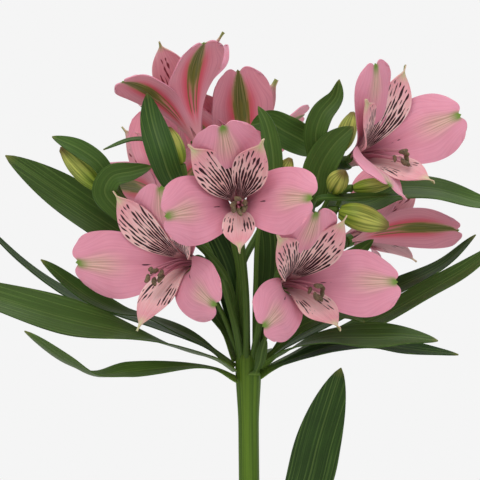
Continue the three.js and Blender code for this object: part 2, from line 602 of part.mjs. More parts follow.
// A bud in its own frame, an oblong green spindle along +Z
function budGeometry(length, radius) {
  const girth = [0.42, 0.86, 1, 0.97, 0.72, 0.16];
  const axis = new THREE.LineCurve3(new THREE.Vector3(), vector([0, 0, length]));
  return bar(axis, even(5), 7, (t) => radius * along(girth, t));
}

// The radius of the pot's inner wall at a height
function innerRadius(z) {
  const top = POT_RIM_RADIUS - POT_BAND_PROUD - POT_WALL;
  return lerp(POT_FOOT_RADIUS - POT_WALL, top, (z - POT_FLOOR) / (POT_HEIGHT - POT_FLOOR));
}

// A profile of [radius, height] points turned about the upright axis
function turned(profile) {
  const points = profile.map(([radius, height]) => new THREE.Vector2(radius, height));
  return new THREE.LatheGeometry(points, ROUND_SIDES).rotateX(Math.PI / 2);
}

// The pot: a tapered wall with a proud band at the rim and drain holes round the middle of its floor
function potGeometry() {
  const bandFoot = POT_HEIGHT - POT_BAND_HEIGHT;
  const wallAtBand = lerp(POT_FOOT_RADIUS, POT_RIM_RADIUS - POT_BAND_PROUD, bandFoot / POT_HEIGHT);
  const body = turned([
    [0, 0],
    [POT_FOOT_RADIUS - POT_LIP_ROUND, 0],
    [POT_FOOT_RADIUS, POT_LIP_ROUND],
    [wallAtBand, bandFoot],
    [wallAtBand + POT_BAND_PROUD, bandFoot + 1],
    [POT_RIM_RADIUS, POT_HEIGHT - POT_LIP_ROUND],
    [POT_RIM_RADIUS - POT_LIP_ROUND, POT_HEIGHT],
    [innerRadius(POT_HEIGHT), POT_HEIGHT],
    [innerRadius(POT_FLOOR), POT_FLOOR],
    [0, POT_FLOOR],
  ]);
  let pot = toSolid(body);
  for (let i = 0; i < DRAIN_HOLES; i += 1) {
    const turn = (2 * Math.PI * (i + 0.25)) / DRAIN_HOLES;
    const hole = new THREE.CylinderGeometry(DRAIN_HOLE_RADIUS, DRAIN_HOLE_RADIUS, 3 * POT_FLOOR, 12)
      .rotateX(Math.PI / 2)
      .translate(DRAIN_CIRCLE_RADIUS * Math.cos(turn), DRAIN_CIRCLE_RADIUS * Math.sin(turn), POT_FLOOR / 2);
    pot = pot.subtract(toSolid(hole));
  }
  return toGeometry(pot);
}

// The soil that fills the pot, lumpy and mounded on top, with a plain hole for the stem
function soilGeometry() {
  const top = POT_HEIGHT - SOIL_BELOW_RIM;
  const clear = FIT_GAP + 0.05;
  const rim = innerRadius(top) - clear;
  const rings = [0.88, 0.72, 0.55, 0.36, 0.18];
  const body = turned([
    [0, POT_FLOOR + FIT_GAP],
    [innerRadius(POT_FLOOR) - clear, POT_FLOOR + FIT_GAP],
    [rim, top],
    ...rings.map((ring) => [rim * ring, top + SOIL_MOUND * (1 - ring * ring)]),
    [0, top + SOIL_MOUND],
  ]);
  const position = body.attributes.position;
  for (let i = 0; i < position.count; i += 1) {
    const [x, y, z] = [position.getX(i), position.getY(i), position.getZ(i)];
    const lump = Math.sin(x * 0.31 + 1.3) * Math.cos(y * 0.27) + 0.6 * Math.sin((x - y) * 0.53);
    if (z > top + 0.01) position.setZ(i, z + SOIL_LUMP * lump);
  }
  const holeFloor = top - STEM_IN_SOIL - FIT_GAP;
  const hole = new THREE.CylinderGeometry(STEM_RADIUS + 2 * FIT_GAP, STEM_RADIUS + 2 * FIT_GAP, 80, 12)
    .rotateX(Math.PI / 2)
    .translate(0, 0, holeFloor + 40);
  return toGeometry(toSolid(body).subtract(toSolid(hole)));
}

// A named sub-part with its own material
function piece(name, geometry, colour, roughness) {
  const material = new THREE.MeshStandardMaterial({ color: colour, roughness, metalness: 0 });
  const mesh = new THREE.Mesh(geometry, material);
  mesh.name = name;
  return mesh;
}

const rays = Object.fromEntries(FLOWERS.map((flower) => [flower.name, rayCurve(flower)]));
const twigs = Object.fromEntries(BUDS.map((bud) => [bud.name, twigCurve(bud, rays)]));

const plant = new THREE.Group();
plant.position.z = WHORL_HEIGHT;
plant.add(piece("stem", stemFrame(rays, twigs), "#6f9136", 0.5));

WHORL_LEAVES.forEach((leaf) => {
  const foot = seatOnStem(COLLAR_RADIUS, vector([0, 0, 0]), leaf.level, leaf.path[0]);
  plant.add(piece(leaf.name, leafBlade(leaf, foot, LEAF_ROWS), "#2f5a26", 0.45));
});

const stem = stemCurve();
STEM_LEAVES.forEach((leaf) => {
  const rise = (leaf.level - stem.points[0].z) / (stem.points.at(-1).z - stem.points[0].z);
  const foot = seatOnStem(STEM_RADIUS, stem.getPointAt(rise), leaf.level, leaf.path[0]);
  plant.add(piece(leaf.name, leafBlade(leaf, foot, LEAF_ROWS), "#376a2b", 0.45));
});

BRACTS.forEach((bract) => {
  const curve = rays[bract.on] ?? twigs[bract.on];
  const radius = bract.on in rays ? RAY_RADIUS : twigRadius(bract.at);
  const foot = seatOnRay(curve, radius, bract.at, bract.path[0]);
  plant.add(piece(bract.name, leafBlade(bract, foot, BRACT_ROWS), "#3d7030", 0.45));
});

FLOWERS.forEach((flower) => {
  const bloom = piece(flower.name, bloomGeometry(flower), "#d9839f", 0.5);
  bloom.position.copy(vector(flower.foot));
  bloom.quaternion.copy(stanceOf(flower));
  plant.add(bloom);
});

BUDS.forEach(({ name, foot, tip, radius }) => {
  const span = vector(tip).sub(vector(foot));
  const bud = piece(name, budGeometry(span.length(), radius), "#9fb548", 0.5);
  bud.position.copy(vector(foot));
  bud.quaternion.setFromUnitVectors(vector(SKY), span.normalize());
  plant.add(bud);
});

const pottedLily = new THREE.Group();
pottedLily.add(piece("pot", potGeometry(), "#b4674a", 0.8));
pottedLily.add(piece("soil", soilGeometry(), "#3c2c22", 0.95));
pottedLily.add(plant);

export default pottedLily;
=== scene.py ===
"""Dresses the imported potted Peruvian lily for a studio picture.

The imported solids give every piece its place. Each flower, bud, leaf and stalk is laid again here as a
finer surface along the same lines, with its veins, streaks, soft edges and thin points, and stands for
its solid. The pot is turned again with a smooth wall, and the soil gets its crumbs. Lengths in the
tables are millimetres, and places on the plant are measured from the whorl, where the long leaves
gather on the stem under the flowers. The viewer's side is -Y, and +Z is up.
"""

import logging
import math
from bisect import bisect_right
from dataclasses import dataclass, field
from enum import Enum
from functools import cache
from typing import Callable, Sequence

import bpy
from mathutils import Matrix, Vector, noise


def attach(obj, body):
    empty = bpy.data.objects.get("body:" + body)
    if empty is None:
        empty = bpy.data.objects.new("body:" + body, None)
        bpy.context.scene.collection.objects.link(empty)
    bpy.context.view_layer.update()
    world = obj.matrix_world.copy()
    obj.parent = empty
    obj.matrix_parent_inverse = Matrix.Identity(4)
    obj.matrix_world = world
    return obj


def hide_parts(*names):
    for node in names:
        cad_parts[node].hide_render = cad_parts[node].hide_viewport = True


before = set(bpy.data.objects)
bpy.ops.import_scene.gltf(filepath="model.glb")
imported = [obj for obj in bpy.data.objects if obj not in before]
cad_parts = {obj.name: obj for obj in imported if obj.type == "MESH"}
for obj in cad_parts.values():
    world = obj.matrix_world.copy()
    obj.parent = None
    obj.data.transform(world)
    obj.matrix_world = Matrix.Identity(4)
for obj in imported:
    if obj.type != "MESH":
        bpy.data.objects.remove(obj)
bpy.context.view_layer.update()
LOG = logging.getLogger("potted_lily")

MM = 0.001
UP = Vector((0.0, 0.0, 1.0))
WHORL = Vector((0.0, 0.0, 300.0))
# The camera's eye, measured from the whorl: how far to the side, how far in front, and how high
EYE = (-3.2, 1400.0, 48.8)
SPLINE_STEPS = 24
# The share of a curve on either side of a spot over which its heading is read
HEADING_STEP = 0.012
# In metres, between spots of a rolled sheet that become one
MERGE_DISTANCE = 2e-6
GOLDEN_ANGLE = math.pi * (3.0 - math.sqrt(5.0))
# The gap between two veins of a tepal, and how far a dark streak on it runs, in millimetres
TEPAL_VEIN_GAP = 0.6
STREAK_RUN = 4.6
# The value that the ink of a streak rises through at its edge
INK_EDGE = (0.97, 1.03)

# The layers that tell a surface's spots to its finish
VEINS, STREAKS, ZONES, BACK, TONE = "veins", "streaks", "zones", "back", "tone"

Piece = bpy.types.Object
Socket = bpy.types.NodeSocket
Tree = bpy.types.NodeTree
Pair = tuple[float, float]
Triple = tuple[float, float, float]
Quad = tuple[float, float, float, float]


@dataclass(frozen=True)
class Marks:
    """What one spot of a surface tells its finish.

    veins are millimetres across and along the surface, streaks are the same spot counted in veins and
    in streak lengths, and zones and back hold how far each tint of a face reaches there, from 0 to 1.
    """

    veins: Pair = (0.0, 0.0)
    streaks: Pair = (0.0, 0.0)
    zones: Quad = (0.0, 0.0, 0.0, 0.0)
    back: Quad = (0.0, 0.0, 0.0, 0.0)


Placer = Callable[[float, float], Vector]
Marker = Callable[[float, float], Marks]


class Facing(Enum):
    """The side that a leaf shows before it is turned about its midrib."""

    VIEWER = (0.0, -1.0, 0.0)
    SKY = (0.0, 0.0, 1.0)


def linear(code: str) -> Quad:
    """Turn an sRGB hex colour into linear light.

    Args:
        code: six hex digits after a #.

    Returns:
        Red, green, blue and full alpha.
    """
    parts = [int(code[i : i + 2], 16) / 255.0 for i in (1, 3, 5)]
    red, green, blue = (p / 12.92 if p <= 0.04045 else ((p + 0.055) / 1.055) ** 2.4 for p in parts)
    return (red, green, blue, 1.0)


def lerp(low: float, high: float, share: float) -> float:
    """Return the value that lies a share of the way from low to high."""
    return low + (high - low) * share


def smooth(value: float, low: float, high: float) -> float:
    """Return a soft step from 0 at low to 1 at high."""
    share = min(max((value - low) / (high - low), 0.0), 1.0)
    return share * share * (3.0 - 2.0 * share)


def fade(value: float, low: float, high: float) -> float:
    """Return a soft step from 1 at low to 0 at high."""
    return 1.0 - smooth(value, low, high)


def bell(value: float, width: float) -> float:
    """Return a bump that is 1 at 0 and dies away on both sides over a width."""
    return math.exp(-((value / width) ** 2))


def polar(turn: float, radius: float = 1.0, height: float = 0.0) -> Vector:
    """Return the spot at an angle round the upright axis."""
    return Vector((radius * math.cos(turn), radius * math.sin(turn), height))


def along(values: Sequence[float], share: float) -> float:
    """Return the value a share of the way along evenly spaced ones, its corners rounded.

    Args:
        values: the values, the first at 0 and the last at 1.
        share: the place along them.

    Returns:
        The mean of five places close together.
    """
    total = 0.0
    for nudge in (-0.08, -0.04, 0.0, 0.04, 0.08):
        place = min(max(share + nudge, 0.0), 1.0) * (len(values) - 1)
        index = min(int(place), len(values) - 2)
        total += lerp(values[index], values[index + 1], place - index)
    return total / 5.0


class Spline:
    """A smooth curve through a few points, walked at an even pace."""

    def __init__(self, points: Sequence[Sequence[float]]) -> None:
        """Lay the curve through its points.

        Args:
            points: the places that it passes, in millimetres.
        """
        inner = [Vector(point) for point in points]
        knots = [2 * inner[0] - inner[1], *inner, 2 * inner[-1] - inner[-2]]
        self.points: list[Vector] = []
        for before, start, end, after in zip(knots, knots[1:], knots[2:], knots[3:]):
            gaps = (start - before, end - start, after - end)
            lead, span, trail = (math.sqrt(max(gap.length, 1e-6)) for gap in gaps)
            leave = ((start - before) / lead - (end - before) / (lead + span) + (end - start) / span) * span
            arrive = ((end - start) / span - (after - start) / (span + trail) + (after - end) / trail) * span
            square = 3 * (end - start) - 2 * leave - arrive
            cube = 2 * (start - end) + leave + arrive
            for w in (step / SPLINE_STEPS for step in range(SPLINE_STEPS)):
                self.points.append(start + leave * w + square * w * w + cube * w**3)
        self.points.append(inner[-1])
        self.marks = [0.0]
        for a, b in zip(self.points, self.points[1:]):
            self.marks.append(self.marks[-1] + (b - a).length)
        self.length = self.marks[-1]

    def at(self, share: float) -> Vector:
        """Return the point at a share of the curve's length."""
        goal = min(max(share, 0.0), 1.0) * self.length
        high = min(bisect_right(self.marks, goal), len(self.marks) - 1)
        low = high - 1
        step = max(self.marks[high] - self.marks[low], 1e-9)
        return self.points[low].lerp(self.points[high], (goal - self.marks[low]) / step)

    def heading(self, share: float) -> Vector:
        """Return the curve's direction at a share of its length."""
        return (self.at(share + HEADING_STEP) - self.at(share - HEADING_STEP)).normalized()

    def frames(self, steps: int) -> list[tuple[Vector, Vector, Vector]]:
        """Return point, side and other side at even stations, carried along without twist.

        Args:
            steps: how many stretches the curve is cut into.

        Returns:
            One entry for each station.
        """
        heading = self.heading(0.0)
        side = heading.cross(Vector((0.3, 1.0, 0.2))).normalized()
        found = []
        for i in range(steps + 1):
            heading = self.heading(i / steps)
            side = (side - heading * side.dot(heading)).normalized()
            found.append((self.at(i / steps), side, heading.cross(side)))
        return found


def deselect_all() -> None:
    """Leave nothing selected."""
    bpy.ops.object.select_all(action="DESELECT")


def activate(piece: Piece) -> None:
    """Select one piece alone and make it the active one."""
    deselect_all()
    piece.select_set(True)
    bpy.context.view_layer.objects.active = piece


def wear(piece: Piece, *looks: "Look") -> None:
    """Give a piece its looks, the face's first and then the back's."""
    for look in looks:
        piece.data.materials.append(dressing(look))


def lay_sheet(
    name: str, rows: int, columns: int, place: Placer, looks: Sequence["Look"],
    marks: Marker = lambda t, v: Marks(), tone: float = 0.5, rolled: bool = False,
) -> Piece:
    """Add a grid and lay it along a formula.

    Args:
        name: the piece's name.
        rows: stretches along it.
        columns: stretches across it.
        place: gives a spot's place in millimetres, from 0 to 1 along and -1 to 1 across.
        looks: the face's look and, where it has a back, the back's.
        marks: gives what the spot tells its finish.
        tone: a number from 0 to 1 that sets this piece a little apart in colour.
        rolled: True where the two sides meet, as on a stalk.

    Returns:
        The piece, its place in its mesh.
    """
    deselect_all()
    bpy.ops.mesh.primitive_grid_add(x_subdivisions=columns, y_subdivisions=rows, size=2.0)
    piece = bpy.context.active_object
    piece.name = name
    mesh = piece.data
    mesh.name = name
    spots = [(0.5 + 0.5 * vertex.co.y, vertex.co.x) for vertex in mesh.vertices]
    told = [marks(t, v) for t, v in spots]
    for vertex, (t, v) in zip(mesh.vertices, spots):
        vertex.co = place(t, v) * MM
    corners = [0] * len(mesh.loops)
    mesh.loops.foreach_get("vertex_index", corners)
    mesh.uv_layers[0].name = VEINS
    mesh.uv_layers.new(name=STREAKS)
    for layer in (VEINS, STREAKS):
        values = [number for corner in corners for number in getattr(told[corner], layer)]
        mesh.uv_layers[layer].data.foreach_set("uv", values)
    for layer in (ZONES, BACK):
        reaches = mesh.color_attributes.new(name=layer, type="FLOAT_COLOR", domain="POINT")
        reaches.data.foreach_set("color", [number for spot in told for number in getattr(spot, layer)])
    shade = mesh.attributes.new(name=TONE, type="FLOAT", domain="POINT")
    shade.data.foreach_set("value", [tone] * len(mesh.vertices))
    if rolled:
        bpy.ops.object.mode_set(mode="EDIT")
        bpy.ops.mesh.select_all(action="SELECT")
        bpy.ops.mesh.remove_doubles(threshold=MERGE_DISTANCE)
        bpy.ops.object.mode_set(mode="OBJECT")
    wear(piece, *looks)
    return piece


def thicken(piece: Piece, thickness: float) -> None:
    """Give a sheet its thickness, with its second look on the back.

    Args:
        piece: the sheet, already wearing its looks.
        thickness: in millimetres.
    """
    activate(piece)
    bpy.ops.object.modifier_add(type="SOLIDIFY")
    wall = piece.modifiers[-1]
    wall.thickness = thickness * MM
    wall.offset = 0.0
    wall.material_offset = 1
    bpy.ops.object.modifier_apply(modifier=wall.name)


def join(pieces: Sequence[Piece], name: str) -> Piece:
    """Join pieces into one.

    Args:
        pieces: what is joined, the first of which stays.
        name: the joined piece's name.

    Returns:
        The joined piece.
    """
    activate(pieces[0])
    for piece in pieces[1:]:
        piece.select_set(True)
    bpy.ops.object.join()
    pieces[0].name = name
    pieces[0].data.name = name
    return pieces[0]


def stand_for(piece: Piece, node: str, degrees: float = 50.0) -> None:
    """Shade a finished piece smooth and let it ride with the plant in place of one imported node.

    Args:
        piece: the finished piece.
        node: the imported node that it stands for.
        degrees: the angle from which an edge stays sharp.
    """
    activate(piece)
    bpy.ops.object.shade_smooth_by_angle(angle=math.radians(degrees))
    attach(piece, "root")
    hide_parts(node)
    LOG.info("%s: %d faces", piece.name, len(piece.data.polygons))


def lay_tube(
    name: str, spline: Spline, radius: Callable[[float, float], float], rows: int, sides: int, look: "Look",
    zones: Callable[[float, float], Quad] = lambda t, turn: (0.0, 0.0, 0.0, 0.0),
) -> Piece:
    """Lay a closed round stalk along a curve.

    Args:
        name: the piece's name.
        spline: its middle line.
        radius: gives its radius in millimetres at a share of its length and an angle.
        rows: stretches along it.
        sides: stretches round it.
        look: its look.
        zones: gives the reach of each tint at a share of its length and an angle.

    Returns:
        The stalk.
    """
    frames = spline.frames(rows)

    def place(t: float, v: float) -> Vector:
        """Return the spot's place on the skin, or on the middle line at either end."""
        point, side, other = frames[round(t * rows)]
        turn = math.pi * v
        reach = 0.0 if t in (0.0, 1.0) else radius(t, turn)
        return point + (side * math.cos(turn) + other * math.sin(turn)) * reach

    def marks(t: float, v: float) -> Marks:
        """Return the spot measured round and along the stalk."""
        turn = math.pi * v
        return Marks((turn * radius(0.5, 0.0), t * spline.length), zones=zones(t, turn))

    return lay_sheet(name, rows, sides, place, [look], marks, rolled=True)


def add_node(
    tree: Tree, kind: str, inputs: dict | None = None, out: int | str = 0, **settings: object
) -> Socket | None:
    """Add a node with its settings and links.

    Args:
        tree: the tree that gets it.
        kind: the node's type.
        inputs: sockets by name or number, each with a number, a hex colour or the socket that feeds it.
        out: the output that is wanted, by name or number.
        settings: the node's own properties.

    Returns:
        That output, through whose node the others are reached, or None for a node without one.
    """
    node = tree.nodes.new(kind)
    for key, value in settings.items():
        setattr(node, key, value)
    for key, value in (inputs or {}).items():
        if isinstance(value, Socket):
            tree.links.new(value, node.inputs[key])
        else:
            node.inputs[key].default_value = linear(value) if isinstance(value, str) else value
    return node.outputs[out] if node.outputs else None


def new_material(name: str) -> tuple[bpy.types.Material, Tree]:
    """Return a new material and its emptied node tree."""
    material = bpy.data.materials.new(name)
    material.use_nodes = True
    material.node_tree.nodes.clear()
    return material, material.node_tree


@dataclass(frozen=True)
class Coat:
    """A colour that is laid over others where its mask lets it through.

    low and high are the mask's values at its thinnest and thickest, least and most its share there.
    """

    mask: Socket
    colour: str | Socket
    low: float = 0.0
    high: float = 1.0
    least: float = 0.0
    most: float = 1.0


def paint(tree: Tree, ground: str, coats: Sequence[Coat]) -> Socket:
    """Lay coats of colour over a ground.

    Args:
        tree: the material's tree.
        ground: the first colour.
        coats: the coats, in order.

    Returns:
        The colour.
    """
    colour = ground
    for coat in coats:
        spans = {0: coat.mask, 1: coat.low, 2: coat.high, 3: coat.least, 4: coat.most}
        layers = {0: add_node(tree, "ShaderNodeMapRange", spans), 6: colour, 7: coat.colour}
        colour = add_node(tree, "ShaderNodeMix", layers, 2, data_type="RGBA")
    return colour


def fine_veins(tree: Tree, gap: float, run: float, detail: float = 3.0) -> tuple[Socket, Socket]:
    """Lay fine lines along a surface.

    Args:
        tree: the material's tree.
        gap: the millimetres between two lines.
        run: the millimetres that a line runs before it fades.
        detail: how much finer grain lies in the lines.

    Returns:
        The lines' strength, and the spot on the surface in millimetres.
    """
    spot = add_node(tree, "ShaderNodeUVMap", uv_map=VEINS)
    lines = add_node(tree, "ShaderNodeMapping", {"Vector": spot, "Scale": (1.0 / gap, 1.0 / run, 1.0)})
    return add_node(tree, "ShaderNodeTexNoise", {"Vector": lines, "Scale": 1.0, "Detail": detail}), spot


def tints(tree: Tree, layer: str) -> list[Socket]:
    """Return the four reaches that a surface carries under a layer's name."""
    told = add_node(tree, "ShaderNodeAttribute", out="Color", attribute_name=layer)
    red = add_node(tree, "ShaderNodeSeparateColor", {0: told})
    return [*red.node.outputs[:3], told.node.outputs["Alpha"]]


def fan_veins(tree: Tree, sway: float) -> tuple[Socket, Socket, Socket]:
    """Find where a spot lies among the veins that fan out over a petal.

    Args:
        tree: the material's tree.
        sway: how far the veins wander, in gaps.

    Returns:
        The offset from the nearest vein, the number of that vein, and the place along it.
    """
    fan = add_node(tree, "ShaderNodeUVMap", uv_map=STREAKS)
    across = add_node(tree, "ShaderNodeSeparateXYZ", {0: fan})
    drift = add_node(tree, "ShaderNodeTexNoise", {"Vector": fan, "Scale": 0.9, "Detail": 1.0})
    centred = add_node(tree, "ShaderNodeMath", {0: drift, 1: 0.5}, operation="SUBTRACT")
    bent = add_node(tree, "ShaderNodeMath", {0: centred, 1: sway, 2: across}, operation="MULTIPLY_ADD")
    vein = add_node(tree, "ShaderNodeMath", {0: bent}, operation="ROUND")
    off = add_node(tree, "ShaderNodeMath", {0: bent, 1: vein}, operation="SUBTRACT")
    return off, vein, across.node.outputs[1]


def dashes(tree: Tree, amount: Socket) -> Socket:
    """Find where broken dashes are inked on the veins that fan out over a petal.

    Args:
        tree: the material's tree.
        amount: how strongly they are drawn, from 0 to 1.

    Returns:
        A value that passes 1 inside the dashes and stays below it beside them.
    """
    off, vein, place = fan_veins(tree, 0.7)
    tone = add_node(tree, "ShaderNodeAttribute", out="Fac", attribute_name=TONE)
    # Veins and pieces lie far apart in the noise, so that each has dashes of its own
    layer = add_node(tree, "ShaderNodeMath", {0: tone, 1: 37.0}, operation="MULTIPLY")
    spot = add_node(tree, "ShaderNodeMath", {0: vein, 1: 3.37}, operation="MULTIPLY")
    where = add_node(tree, "ShaderNodeCombineXYZ", {0: spot, 1: place, 2: layer})
    broken = add_node(tree, "ShaderNodeTexNoise", {"Vector": where, "Scale": 1.0, "Detail": 1.0})
    square = add_node(tree, "ShaderNodeMath", {0: off, 1: off}, operation="MULTIPLY")
    body = add_node(tree, "ShaderNodeMath", {0: square, 1: -2.4, 2: broken}, operation="MULTIPLY_ADD")
    return add_node(tree, "ShaderNodeMath", {0: amount, 1: 0.8, 2: body}, operation="MULTIPLY_ADD")


@dataclass(frozen=True)
class Skin:
    """The outside of living tissue: how rough, how waxy and how see-through it is.

    relief is the height of its fine ridges in millimetres, and glow how much light goes through it.
    """

    roughness: float = 0.5
    relief: float = 0.2
    strength: float = 0.4
    specular: float = 0.4
    glow: float = 0.14
    glow_radius: Triple = (1.0, 0.45, 0.35)
    sheen: float = 0.0

    def close(self, tree: Tree, colour: Socket, height: Socket) -> None:
        """Close a material with this skin.

        Args:
            tree: the material's tree.
            colour: its colour.
            height: the height of its ridges.
        """
        ridges = {"Strength": self.strength, "Distance": self.relief * MM, "Height": height}
        shader = add_node(
            tree,
            "ShaderNodeBsdfPrincipled",
            {
                "Base Color": colour,
                "Roughness": self.roughness,
                "IOR": 1.42,
                "Specular IOR Level": self.specular,
                "Subsurface Weight": self.glow,
                "Subsurface Radius": self.glow_radius,
                "Subsurface Scale": 0.0006,
                "Sheen Weight": self.sheen,
                "Sheen Roughness": 0.4,
                "Normal": add_node(tree, "ShaderNodeBump", ridges),
            },
        )
        add_node(tree, "ShaderNodeOutputMaterial", {0: shader})


PETAL_SKIN = Skin(roughness=0.52, sheen=0.12)
LEAF_SKIN = Skin(0.42, 0.35, 0.6, 0.22, 0.05, (0.4, 1.0, 0.25))

# A ground colour, the coats over it, and the height of the surface's ridges
Layers = tuple[str, list[Coat], Socket]


@dataclass(frozen=True)
class Finish:
    """What a surface is made of: coats of colour over a ground, closed with one skin."""

    name: str

    @property
    def skin(self) -> Skin:
        """Return the skin, which is a leaf's unless a finish has its own."""
        return LEAF_SKIN

    def layers(self, tree: Tree) -> Layers:
        """Return the finish's layers, whose nodes are added to the tree."""
        raise NotImplementedError

    def material(self) -> bpy.types.Material:
        """Build the material."""
        material, tree = new_material(self.name)
        ground, coats, height = self.layers(tree)
        self.skin.close(tree, paint(tree, ground, coats), height)
        return material


@dataclass(frozen=True)
class PetalFace(Finish):
    """The upper side of a tepal: satin living tissue, veined, with tints and dark streaks.

    Cells full of sap scatter the light, so it is soft and a little see-through, with a faint sheen.
    The zones' red reaches the point, green the middle band, blue the painted shade deep in the throat and
    alpha the streaks.
    """

    flesh: str = "#e49bb0"
    vein: str = "#cf7f95"
    band: str = "#dab9a6"
    band_vein: str = "#94835a"
    point: str = "#6c8c34"
    # Painted shade: a deeper pink laid in the throat, where the funnel of the flower is in shade
    painted_throat_shade: str = "#a85d72"
    streak: str = "#35101a"

    @property
    def skin(self) -> Skin:
        """Return the petals' skin."""
        return PETAL_SKIN

    def layers(self, tree: Tree) -> Layers:
        """Return the veins, which run for half the tepal, soft clouds 9 mm wide, tints and streaks."""
        veins, spot = fine_veins(tree, TEPAL_VEIN_GAP, 24.0)
        clouds = add_node(tree, "ShaderNodeTexNoise", {"Vector": spot, "Scale": 0.11, "Detail": 2.0})
        point, band, painted_throat_shade, streak = tints(tree, ZONES)
        coats = [
            Coat(veins, self.vein, 0.42, 0.7, most=0.42),
            Coat(clouds, self.vein, 0.38, 0.7, most=0.3),
            Coat(band, paint(tree, self.band, [Coat(veins, self.band_vein, 0.42, 0.64, most=0.8)])),
            # Painted shade: the throat tint darkens each tepal towards its claw
            Coat(painted_throat_shade, self.painted_throat_shade),
            Coat(point, self.point),
            Coat(dashes(tree, streak), self.streak, *INK_EDGE),
        ]
        return self.flesh, coats, veins


@dataclass(frozen=True)
class PetalBack(Finish):
    """The underside of a tepal: the same tissue with an olive midrib patch and a red flush.

    The patch starts dark at the point and frays into thin lines towards the claw. In the back tints,
    red reaches the olive patch, green the flush, blue the fine lines and alpha the pale claw. On the
    dashed ones the streaks of the upper side show through.
    """

    flesh: str = "#ec9fb1"
    vein: str = "#d47f96"
    olive: str = "#95924c"
    core: str = "#45501c"
    flush: str = "#e0455c"
    line: str = "#77722f"
    claw: str = "#cf9492"
    dashed: bool = False

    @property
    def skin(self) -> Skin:
        """Return the petals' skin."""
        return PETAL_SKIN

    def drawn_lines(self, tree: Tree, line: Socket) -> Coat:
        """Return the dashes that show through, or else thin lines on the veins.

        Args:
            tree: the material's tree.
            line: how strongly they are drawn, from 0 to 1.

        Returns:
            Their coat.
        """
        if self.dashed:
            return Coat(dashes(tree, line), self.line, *INK_EDGE)
        near = add_node(tree, "ShaderNodeMath", {0: fan_veins(tree, 0.25)[0]}, operation="ABSOLUTE")
        drawn = add_node(tree, "ShaderNodeMath", {0: line, 1: near}, operation="SUBTRACT")
        return Coat(drawn, self.line, 0.55, 0.8, most=0.9)

    def layers(self, tree: Tree) -> Layers:
        """Return the veins, the tints and the drawn lines."""
        veins, _ = fine_veins(tree, TEPAL_VEIN_GAP, 24.0)
        olive, flush, line, claw = tints(tree, BACK)
        # The olive patch breaks up between the veins, and its middle is nearly black
        frayed = add_node(tree, "ShaderNodeMath", {0: veins, 1: -0.9, 2: 1.35}, operation="MULTIPLY_ADD")
        patch = add_node(tree, "ShaderNodeMath", {0: olive, 1: frayed}, operation="MULTIPLY")
        coats = [
            Coat(veins, self.vein, 0.4, 0.68, most=0.5),
            Coat(flush, self.flush),
            Coat(claw, self.claw),
            Coat(patch, self.olive, high=0.9),
            Coat(patch, self.core, 0.6, most=0.85),
            self.drawn_lines(tree, line),
        ]
        return self.flesh, coats, veins


@dataclass(frozen=True)
class LeafFinish(Finish):
    """A leaf: waxy skin over parallel veins.

    The wax gives a soft blue-grey gloss, the veins fine lengthwise lines, and the midrib a pale
    thread. The zones' red reaches the withered point and green the pale foot.
    """

    green: str = "#304e1d"
    dark: str = "#182e0f"
    rib: str = "#6f8545"
    point: str = "#7b7a3c"
    foot: str = "#6d8a3a"
    rib_strength: float = 0.32
    vein_gap: float = 0.7

    def layers(self, tree: Tree) -> Layers:
        """Return the pale and dark veins, soft clouds, the midrib and the tints."""
        veins, spot = fine_veins(tree, self.vein_gap, 80.0)
        clouds = add_node(tree, "ShaderNodeTexNoise", {"Vector": spot, "Scale": 0.06, "Detail": 3.0})
        tone = add_node(tree, "ShaderNodeAttribute", out="Fac", attribute_name=TONE)
        across = add_node(tree, "ShaderNodeSeparateXYZ", {0: spot})
        aside = add_node(tree, "ShaderNodeMath", {0: across}, operation="ABSOLUTE")
        point, foot, _, _ = tints(tree, ZONES)
        coats = [
            Coat(veins, self.rib, 0.3, 0.46, 0.6, 0.0),
            Coat(veins, self.dark, 0.38, 0.62, most=0.9),
            Coat(clouds, self.dark, 0.35, 0.7, most=0.6),
            Coat(tone, self.foot, most=0.25),
            Coat(aside, self.rib, 0.1, 0.42, self.rib_strength, 0.0),
            Coat(foot, self.foot),
            Coat(point, self.point),
        ]
        return self.green, coats, veins


@dataclass(frozen=True)
class StalkFinish(Finish):
    """The skin of a stem or stalk: smooth and fibrous, with pale and dark lengthwise lines.

    The zones' red reaches the painted shade down one side of a stalk and green the ribbed, darker seed case.
    """

    green: str = "#5e7c26"
    dark: str = "#3d5a19"
    # Painted shade, laid down one side of a ray
    shade: str = "#34501d"

    def layers(self, tree: Tree) -> Layers:
        """Return the fibres and the tints."""
        fibres, _ = fine_veins(tree, 0.65, 90.0)
        sides, seeds, _, _ = tints(tree, ZONES)
        lines = Coat(fibres, self.dark, 0.36, 0.64, most=0.85)
        # The red reach lays the shade colour as painted shade down one side of a ray
        return self.green, [lines, Coat(sides, self.shade), Coat(seeds, self.dark)], fibres


@dataclass(frozen=True)
class BudFinish(Finish):
    """A closed bud: firm lime-green tepals with dark seams and a bronze point.

    The zones' red reaches the dark stripes, green the bronze point and blue the pale shoulders.
    """

    lime: str = "#98ae3c"
    pale: str = "#c6c768"
    stripe: str = "#3a571a"
    bronze: str = "#6a5230"

    def layers(self, tree: Tree) -> Layers:
        """Return the fibres and the tints."""
        fibres, _ = fine_veins(tree, 0.9, 17.0, 2.0)
        stripe, bronze, pale, _ = tints(tree, ZONES)
        coats = [
            Coat(pale, self.pale),
            Coat(fibres, self.stripe, 0.42, 0.66, most=0.7),
            Coat(stripe, self.stripe),
            Coat(bronze, self.bronze),
        ]
        return self.lime, coats, fibres


